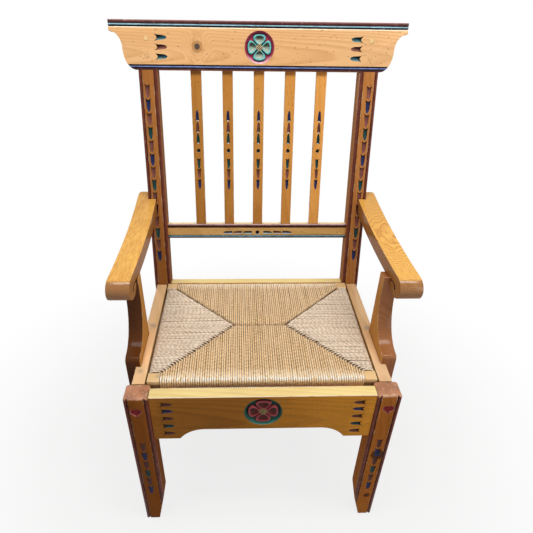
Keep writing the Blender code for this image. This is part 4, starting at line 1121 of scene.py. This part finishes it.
def makeSlat(index):
    node = "back_slat_%d" % (index + 1)
    look = slatLook
    x = look["pitch"] * (index - (look["count"] - 1) / 2)
    wood = pine(node + "_pine", "rake", middleOf(node), "slat", 11 + index, pith=(0.01 * index - 0.02, 0.07),
                contrast=0.5, shade=look["paintedLightShades"][index], endShade=(-0.2, 0.02, look["endShades"][index]))
    board = boardFrom(node, wood, look["ease"], 2, lambda e: e.calc_length() > 0.2)
    tools = bmesh.new()
    # the stops of the cuts that point up, and the dot's wall, get the painted highlight
    for starts, heading, stop in ((look["up"], 1, "cutStopHighlight"), (look["down"], -1, None)):
        for start, name in zip(starts, look["paints"]):
            cutBullet(tools, backFrame, look["front"], (x, start), (0, heading), look["bullet"], name, stop)
    cutDot(tools, backFrame, look["front"], (x, look["dotRise"]), look["dot"], "black", "cutStopHighlight")
    carve(board, tools)
    dress(board, node)


makeLowerRail()
for index in range(slatLook["count"]):
    makeSlat(index)
print("slats carved")

# seat rails, arms and supports
greyWear = {"tint": (0.34, 0.29, 0.27), "strength": 0.6}
plainWood = {"lean": (0.01, 0.03), "contrast": 0.55, "lacquer": 0.12, "specks": 0.5}
seatRail = {"run": "Y", "tone": "rail", "ease": 0.0014}
# the arms' faces that do not look up are darker: stain and painted shade
armBoard = {"tone": "arm", "ease": 0.0032, "segments": 4, "lacquer": 0.24, "specks": 0.0,
            "sawnStainAndShade": (upward, (0.36, 0.145, 0.042), 0.9, (0.02, 0.16))}
armSupport = {"run": "Z", "tone": "support", "ease": 0.0022, "segments": 3}
# the seat's corners get painted shade low down, under the seat's edge
seatCorner = {"run": "Z", "tone": "corner", "ease": 0.0018, "gapShadeLevel": 0.4365}
plainBoards = {
    "left_side_rail": {**seatRail, "seed": 21, "top": ((0.97, 0.64, 0.36), 0.8),
                       "wornAndLit": ((-0.261, 0.234, 0.017), (-0.266, 0.081, 0.012))},
    "right_side_rail": {**seatRail, "seed": 22, "top": ((0.84, 0.56, 0.35), 0.7),
                        "wornAndLit": ((0.267, 0.22, 0.017),)},
    "rear_seat_rail": {**seatRail, "run": "X", "seed": 23, "top": wornAndLitTop},
    "left_arm": {**armBoard, "run": "leftArm", "seed": 31, "lean": (0.006, 0.04), "contrast": 0.45,
                 "figure": 0.5, "endShade": (-0.2, 0.1, 0.3)},
    "right_arm": {**armBoard, "run": "rightArm", "seed": 34, "lean": (0.004, 0.02), "contrast": 0.75,
                  "figure": 0.25, "endShade": (-0.2, 0.1, 0.2), "year": 0.0036, "pith": (0.0, 0.03),
                  "eye": (-0.012, 2.2)},
    # the supports' dark sawn colours are painted shade, the left one darker than the right
    "left_arm_support": {**armSupport, "seed": 41, "lacquer": 0.05,
                         "sawnStainAndShade": (aside, (0.115, 0.035, 0.008), 1.0, (0.25, 0.75))},
    "right_arm_support": {**armSupport, "seed": 43, "sawnStainAndShade": (aside, (0.37, 0.142, 0.05), 1.0, (0.25, 0.75))},
    "seat_left_front_corner": {**seatCorner, "seed": 51, "wornAndLit": ((-0.224, 0.06, 0.012),)},
    "seat_right_front_corner": {**seatCorner, "seed": 52},
    "seat_left_rear_corner": {**seatCorner, "seed": 53},
    "seat_right_rear_corner": {**seatCorner, "seed": 54},
}
armRoll = {"radius": 0.0255, "dark": 0.8}


def shadeSlot(board, node):
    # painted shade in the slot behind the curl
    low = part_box(node)[0]
    middle = Vector((low.y + armRoll["radius"], low.z + armRoll["radius"]))

    def rule(place, normal):
        reach = (Vector((place.y, place.z)) - middle).length / armRoll["radius"]
        return "slot" if abs(normal.x) < 0.5 and reach < armRoll["dark"] else None

    paintFaces(board, Matrix.Identity(4), rule)


for node, row in plainBoards.items():
    look = {**plainWood, **row}
    ease, segments, wornAndLit = look.pop("ease"), look.pop("segments", 2), look.pop("wornAndLit", ())
    patches = []
    for x, y, reach in wornAndLit:
        spot = frontFrame @ Vector((x, y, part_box(node)[1].z))
        patches.append((spot, reach, greyWear["tint"], greyWear["strength"]))
    wood = pine(node + "_pine", centre=middleOf(node), patches=patches, **look)
    board = boardFrom(node, wood, ease, segments)
    if node in ("left_arm", "right_arm"):
        shadeSlot(board, node)
    dress(board, node, 40)
print("arms and rails dressed")

# small pieces keep their solids and get their own finish
steelLook = {"dull": (0.3, 0.3, 0.31), "bright": (0.58, 0.58, 0.59)}
steel, shader = newMaterial("screw_steel_worn", Metallic=1.0)
streaks = noise(objectPlace(), 700, 3)
connect(ramp(streaks, ((0.3, steelLook["dull"]), (0.7, steelLook["bright"]))), shader["Base Color"])
connect(remap(noise(objectPlace(), 900), 0.3, 0.7, 0.28, 0.5), shader["Roughness"])
for node, piece in nodes.items():
    if piece.hide_render or node == "rush_weave":
        continue
    if "screw" in node:
        finish = steel
    elif "peg" in node or "plug" in node or "dowel" in node:
        tone = "flushPeg" if "lower_peg" in node else "peg"
        finish = pine(node + "_pine", "Y", middleOf(node), tone, len(node), contrast=0.15, specks=0.0)
    else:
        run = "X" if node in ("seat_front_rail", "seat_rear_rail") else "Y"
        finish = pine(node + "_pine", run, middleOf(node), "block" if "block" in node else "rail", len(node))
    piece.data.materials.clear()
    piece.data.materials.append(finish)
print("small pieces dressed")

# rush seat
rushLook = {
    "across": 88,  # cords over the front rail
    "along": 64,  # cords over a side rail
    "corner": 0.0265,
    "thick": 0.005,
    "fill": 0.945,  # a cord's width as a share of its room
    "crown": 0.0018,
    "crownReach": 0.16,
    "bend": 0.0095,
    "step": 0.012,
    "dip": 0.007,
    "dipLength": 0.009,
    "past": {"near": 0.0012, "far": -0.0018},  # how far a cord runs over its seam, in front and at the back
    "sides": 9,
    "lay": 0.0105,  # length of one twist
    "swell": {"share": 0.05, "length": 0.019},
    "sway": {"most": 0.00016, "length": 0.028},
    "stray": {"end": 0.001, "seam": 0.0008, "height": 0.00012, "pitch": 0.00006, "loosePitch": 0.00034},
    "sink": 0.0011,
    "loose": {"front": 0.2, "back": 0.3, "left": 0.8, "right": 0.8},
    "rubbedAndLit": (9, 17),  # steps of the path over the rail
    "marks": ("along", "turnSin", "turnCos", "shade", "tint", "polishAndLight", "seamShade"),
}
rushTones = {
    "gold": ((0.25, (0.56, 0.35, 0.15)), (0.5, (0.82, 0.55, 0.292)), (0.68, (0.89, 0.63, 0.36)),
             (0.85, (0.97, 0.78, 0.52))),
    # the side panels' paler ramp is a painted sheen
    "pale": ((0.25, (0.52, 0.37, 0.24)), (0.5, (0.78, 0.61, 0.455)), (0.68, (0.88, 0.735, 0.58)),
             (0.85, (0.95, 0.86, 0.74))),
    # painted shade in the twist's grooves
    "groove": (0.34, 0.21, 0.1),
    "goldGlint": (1.0, 0.82, 0.54),
    "paleGlint": (1.0, 0.93, 0.8),
    # painted shade between the cords
    "between": (0.15, 0.085, 0.035),
    # worn paler over the front rail, with a painted highlight
    "rubbedAndLit": (1.0, 0.74, 0.39),
    # painted highlights on the front bend
    "wornAndLit": (1.0, 0.97, 0.9),
    # painted shade where the cords go down into the seams
    "seam": (0.2, 0.11, 0.05),
    # the straw is dark as painted shade inside the seat
    "packing": ((0.3, (0.05, 0.028, 0.012)), (0.7, (0.17, 0.1, 0.05))),
}


def rushPath(start, end, low, high, past, dice):
    # one cord in its own plane: from the underside's seam, round the rail and over the top to the seam
    look = rushLook
    bend, dip, dipLength = look["bend"], look["dip"], look["dipLength"]
    points = []
    for i in range(6):
        place = end - (end - start - bend) * i / 6
        points.append((place, low + dip * (1 - smooth(end - place, 0, dipLength))))
    for turn, level in ((270, low + bend), (180, high - bend)):
        for i in range(6):
            angle = math.radians(turn - 90 * i / 5)
            points.append((start + bend + bend * math.cos(angle), level + bend * math.sin(angle)))
    far = end + past + dice.uniform(-1, 1) * look["stray"]["end"] - start - bend
    steps = max(5, int(far / look["step"]))
    shares = [i / steps * max(0.0, 1 - dipLength / far) for i in range(1, steps + 1)]
    shares += [1 - dipLength / far * (1 - i / 5) for i in range(1, 6)]
    for share in shares:
        lift = look["crown"] * math.sin(min(1, far * share / look["crownReach"]) * math.pi / 2)
        drop = dip * smooth(far * share, far - dipLength, far)
        height = high + lift - drop + dice.uniform(-1, 1) * look["stray"]["height"]
        points.append((start + bend + far * share, height))
    return points


def addCord(store, path, sideways, wide, dice, tint):
    # sweeps an oval along the path and stores its points, faces and marks
    look = rushLook
    count, rows = look["sides"], len(path)
    base = len(store["points"])
    shade = dice.random()
    twist = dice.uniform(0, 6.28)
    first, last = look["rubbedAndLit"]
    length = 0.0
    for i, point in enumerate(path):
        ahead = (path[min(rows - 1, i + 1)] - path[max(0, i - 1)]).normalized()
        outward = sideways.cross(ahead).normalized()
        if i:
            length += (point - path[i - 1]).length
        swell = 1 + look["swell"]["share"] * math.sin(length / look["swell"]["length"] + twist)
        # the cords over the front rail are marked for wear and painted highlight
        polishAndLight = 0.0 if tint else 1.0 if first <= i <= last else 0.5 if i == last + 1 else 0.0
        # marks the cord's end for painted shade
        seamShade = smooth(i, rows - 4.2, rows - 1.5)  # goes down into the seam
        for j in range(count):
            angle = 2 * math.pi * j / count
            turnSin, turnCos = math.sin(angle), math.cos(angle)
            offset = sideways * (turnCos * wide / 2 * swell) + outward * (turnSin * look["thick"] / 2)
            store["points"].append(point + offset)
            store["marks"].append((length + twist * 0.01, turnSin, turnCos, shade, tint, polishAndLight, seamShade))
    for i in range(rows - 1):
        a, b = base + i * count, base + (i + 1) * count
        for j in range(count):
            k = (j + 1) % count
            store["faces"].append((a + j, b + j, b + k, a + k))
    store["faces"].append(tuple(range(base, base + count)))
    store["faces"].append(tuple(range(base + rows * count - 1, base + (rows - 1) * count - 1, -1)))


def rushMaterial():
    made, shader = newMaterial("rush_cord", **{"Specular IOR Level": 0.6})
    tones = rushTones
    place = objectPlace()
    along, turnSin, turnCos, shade, tint, polishAndLight, seamShade = (attribute(name) for name in rushLook["marks"])
    lay = plus(times(along, 2 * math.pi / rushLook["lay"]), times(shade, 25.0))
    lay = plus(lay, times(noise(place, 95), 9.0))
    twist = plus(times(turnSin, calc("COSINE", lay)), times(turnCos, calc("SINE", lay)))
    straw = noise(place, 420, 4, 0.65)
    blotch = noise(place, 30, 3, 0.55)
    fleck = noise(place, 130, 3, 0.6)
    spread = calc("MULTIPLY_ADD", tint, -0.06, 0.24)
    mixed = plus(plus(times(shade, spread), times(blotch, 0.34)), times(fleck, 0.5))
    # the side panels take the paler ramp as a painted sheen
    colour = mixColour(tint, ramp(mixed, tones["gold"]), ramp(mixed, tones["pale"]))
    # painted shade in the twist's grooves
    groove = remap(plus(twist, times(straw, 1.6)), -0.5, 0.7, 0.26, 0.0)
    colour = mixColour(groove, colour, tones["groove"])
    glint = remap(plus(twist, times(straw, 2.4)), 1.35, 2.1, 0.0, 0.6)
    colour = mixColour(glint, colour, mixColour(tint, tones["goldGlint"], tones["paleGlint"]))
    # painted shade between the cords
    between = remap(calc("ABSOLUTE", turnCos), 0.62, 0.98, 0.0, 0.68)
    colour = mixColour(times(between, remap(polishAndLight, 0.0, 1.0, 1.0, 0.4)), colour, tones["between"])
    # wear and painted highlight over the front rail
    rubbedAndLit = times(times(polishAndLight, remap(turnSin, 0.1, 0.8)), remap(fleck, 0.3, 0.7, 0.55, 1.0))
    colour = mixColour(rubbedAndLit, colour, tones["rubbedAndLit"])
    # painted highlights where the front bend looks up
    rise = facing(upward)
    bend = times(remap(rise, 0.35, 0.6), remap(rise, 0.97, 0.85))
    colour = mixColour(times(times(polishAndLight, bend), remap(fleck, 0.4, 0.5)), colour, tones["wornAndLit"])
    # painted shade where the cords go down into the seams
    colour = mixColour(times(seamShade, 0.75), colour, tones["seam"])
    connect(colour, shader["Base Color"])
    connect(less(remap(straw, 0.3, 0.7, 0.36, 0.62), times(rubbedAndLit, 0.28)), shader["Roughness"])
    connect(bump(plus(times(twist, 0.5), times(straw, 0.6)), 0.0006, 0.5), shader["Normal"])
    return made


def makeRush():
    look = rushLook
    low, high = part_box("rush_weave")
    centre = (low + high) / 2
    half = (high - low) / 2
    thick, corner, stray = look["thick"], look["corner"], look["stray"]
    floor, top = low.z + thick / 2, high.z - look["crown"] - thick / 2 - 0.0003
    store = {"points": [], "faces": [], "marks": []}
    dice = random.Random(5)
    # across and inward directions, depth and half width, cords and tint of each panel
    panels = {
        "front": (Vector((1, 0, 0)), Vector((0, 1, 0)), half.y, half.x, look["across"], 0.0),
        "back": (Vector((-1, 0, 0)), Vector((0, -1, 0)), half.y, half.x, look["across"], 0.0),
        # the side panels' tint gives them the paler ramp of a painted sheen
        "left": (Vector((0, -1, 0)), Vector((1, 0, 0)), half.x, half.y, look["along"], 1.0),
        "right": (Vector((0, 1, 0)), Vector((-1, 0, 0)), half.x, half.y, look["along"], 1.0),
    }
    for name, (across, inward, deep, wide, count, tint) in panels.items():
        loose = look["loose"][name]
        room = wide - corner - 0.0004
        pitch = 2 * room / count
        for i in range(count):
            spot = -room + pitch * (i + 0.5)
            spot += dice.uniform(-1, 1) * (stray["pitch"] + stray["loosePitch"] * loose)
            seam = min(corner + room - abs(spot), deep) + dice.uniform(-1, 1) * stray["seam"]
            isFar = name == "back" or (across * spot).y > 0
            past = look["past"]["far" if isFar else "near"]
            sunk = loose * look["sink"] * dice.random() ** 4
            plan = rushPath(thick / 2, seam, floor, top - sunk, past, dice)
            phase = dice.uniform(0, 6.28)
            sway = dice.uniform(0.4, 1.0) * look["sway"]["most"] * (1 + loose)
            path = []
            for reach, z in plan:
                shift = spot + sway * math.sin(reach / look["sway"]["length"] + phase)
                flat = across * shift - inward * deep + inward * reach
                path.append(Vector((centre.x + flat.x, centre.y + flat.y, z)))
            addCord(store, path, across, pitch * look["fill"], dice, tint)
    mesh = bpy.data.meshes.new("rush_seat")
    mesh.from_pydata(store["points"], [], store["faces"])
    for mark, values in zip(look["marks"], zip(*store["marks"])):
        addMark(mesh, mark, values)
    mesh.materials.append(rushMaterial())
    mesh.shade_smooth()
    seat = addObject("rush_seat", mesh)
    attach(seat, "seat")
    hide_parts("rush_weave")


packingLook = {"gap": 0.0006, "under": 0.0012, "over": 0.0008, "rough": 0.0005}


def makePacking():
    # straw stuffed between the two layers of cord, inside the seat's rails
    look = packingLook
    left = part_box("seat_left_rail")[1].x + look["gap"]
    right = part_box("seat_right_rail")[0].x - look["gap"]
    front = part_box("seat_front_rail")[1].y + look["gap"]
    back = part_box("seat_rear_rail")[0].y - look["gap"]
    low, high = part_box("rush_weave")
    top = high.z - rushLook["crown"] - rushLook["thick"] - look["under"]
    floor = low.z + rushLook["thick"] + look["over"]
    shape = bmesh.new()
    bmesh.ops.create_grid(shape, x_segments=24, y_segments=18, size=0.5)
    dice = random.Random(9)
    for vert in shape.verts:
        vert.co.x = left + (right - left) * (vert.co.x + 0.5)
        vert.co.y = front + (back - front) * (vert.co.y + 0.5)
        vert.co.z = top + dice.uniform(-1, 1) * look["rough"]
    made = bmesh.ops.extrude_face_region(shape, geom=list(shape.faces))
    for item in made["geom"]:
        if isinstance(item, bmesh.types.BMVert):
            item.co.z = floor
    bmesh.ops.recalc_face_normals(shape, faces=shape.faces)
    mesh = meshFrom(shape, "straw_packing")
    made, shader = newMaterial("packed_straw_in_shade", Roughness=0.85)
    # the straw is coloured dark as painted shade inside the seat, seen through the gaps
    straw = noise(objectPlace(), (500, 60, 300), 4, 0.6)
    connect(ramp(straw, rushTones["packing"]), shader["Base Color"])
    connect(bump(straw, 0.001), shader["Normal"])
    mesh.materials.append(made)
    packing = addObject("straw_packing", mesh)
    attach(packing, "seat")


makeRush()
makePacking()
print("rush seat woven")

# camera, floor and light
cameraPlan = {
    "place": (-0.04814, -0.64539, 1.1615),  # from the middle of the legs' front
    "yaw": 0.039851,
    "pitch": 0.591535,
    "roll": -0.017613,
    "focal": 458.8212,  # in pixels of a picture this wide
    "picture": 533,
    "centre": (255.0139, 281.3816),
    "sensor": 36,
}


def makeCamera():
    plan = cameraPlan
    yaw, pitch, roll = plan["yaw"], plan["pitch"], plan["roll"]
    flat = math.cos(pitch)
    forward = Vector((math.sin(yaw) * flat, math.cos(yaw) * flat, -math.sin(pitch)))
    right = Vector((math.cos(yaw), -math.sin(yaw), 0))
    down = forward.cross(right)
    turnedRight = right * math.cos(roll) + down * math.sin(roll)
    turnedDown = down * math.cos(roll) - right * math.sin(roll)
    turn = Matrix((turnedRight, -turnedDown, -forward)).transposed()
    data = bpy.data.cameras.new("photo_camera")
    data.sensor_fit = "HORIZONTAL"
    data.sensor_width = plan["sensor"]
    data.lens = plan["sensor"] * plan["focal"] / plan["picture"]
    half = plan["picture"] / 2
    data.shift_x = (half - plan["centre"][0]) / plan["picture"]
    data.shift_y = (plan["centre"][1] - half) / plan["picture"]
    data.clip_end = 200
    camera = addObject("photo_camera", data)
    spot = Vector(plan["place"]) + Vector((0, legFront, 0))
    camera.matrix_world = Matrix.Translation(spot) @ turn.to_4x4()
    bpy.context.scene.camera = camera


stageLook = {
    "floorSize": 60,
    "floorDrop": 0.0004,
    "floorColour": (0.66, 0.66, 0.66, 1),
    "shadowReach": (0.35, 1.1),
    "shadowClear": 0.8,
    "ambient": 0.17,
}
panelLook = {
    "key_panel": {"place": (0.1, -0.42, 2.15), "aim": (0.1, -0.1, 0.6), "size": (2.0, 0.5), "power": 28,
                  "colour": (1.0, 0.975, 0.94)},
    "side_panel": {"place": (1.7, -1.7, 1.1), "aim": (0.0, 0.0, 0.5), "size": (1.2, 1.2), "power": 8,
                   "colour": (1.0, 0.98, 0.95)},
    "back_panel": {"place": (-1.1, 2.7, 0.7), "aim": (0.0, 0.2, 0.6), "size": (1.6, 0.9), "power": 16,
                   "colour": (1.0, 0.98, 0.96)},
}


def seenDirectly():
    # rays from the camera, and those that metal and glass send on
    path = newNode("LightPath").outputs
    seen = calc("MAXIMUM", path["Is Camera Ray"], path["Is Glossy Ray"])
    return calc("MAXIMUM", seen, path["Is Transmission Ray"])


def makeFloor():
    look = stageLook
    edge = look["floorSize"] / 2
    mesh = bpy.data.meshes.new("floor")
    corners = [(-edge, -edge, 0), (edge, -edge, 0), (edge, edge, 0), (-edge, edge, 0)]
    mesh.from_pydata(corners, [], [(0, 1, 2, 3)])
    floor = addObject("floor", mesh)
    floor.location.z = -look["floorDrop"]
    plain = {"Roughness": 0.9, "Base Color": look["floorColour"], "Specular IOR Level": 0.0}
    made = newMaterial("pale_floor", **plain)[0]
    clear = remap(lengthOf(objectPlace()), *look["shadowReach"], look["shadowClear"], 1.0)
    both = newNode("MixShader")
    connect(times(clear, seenDirectly()), both.inputs[0])
    connect(tree.nodes["Principled BSDF"].outputs[0], both.inputs[1])
    connect(newNode("Emission").outputs[0], both.inputs[2])
    connect(both.outputs[0], tree.nodes["Material Output"].inputs["Surface"])
    mesh.materials.append(made)


def makeLight():
    global tree
    for name, panel in panelLook.items():
        data = bpy.data.lights.new(name, "AREA")
        data.shape = "RECTANGLE"
        data.size, data.size_y = panel["size"]
        data.energy = panel["power"]
        data.color = panel["colour"]
        lamp = addObject(name, data)
        lamp.location = panel["place"]
        lamp.rotation_mode = "QUATERNION"
        ahead = Vector(panel["aim"]) - Vector(panel["place"])
        lamp.rotation_quaternion = ahead.to_track_quat("-Z", "Y")
    world = bpy.data.worlds.new("studio")
    bpy.context.scene.world = world
    world.use_nodes = True
    tree = world.node_tree
    back = tree.nodes["Background"].inputs
    back["Color"].default_value = (1, 1, 1, 1)
    connect(remap(seenDirectly(), 0.0, 1.0, stageLook["ambient"], 1.0), back["Strength"])
    bpy.context.scene.view_settings.view_transform = "Standard"


makeCamera()
makeFloor()
makeLight()
print("camera and light set")
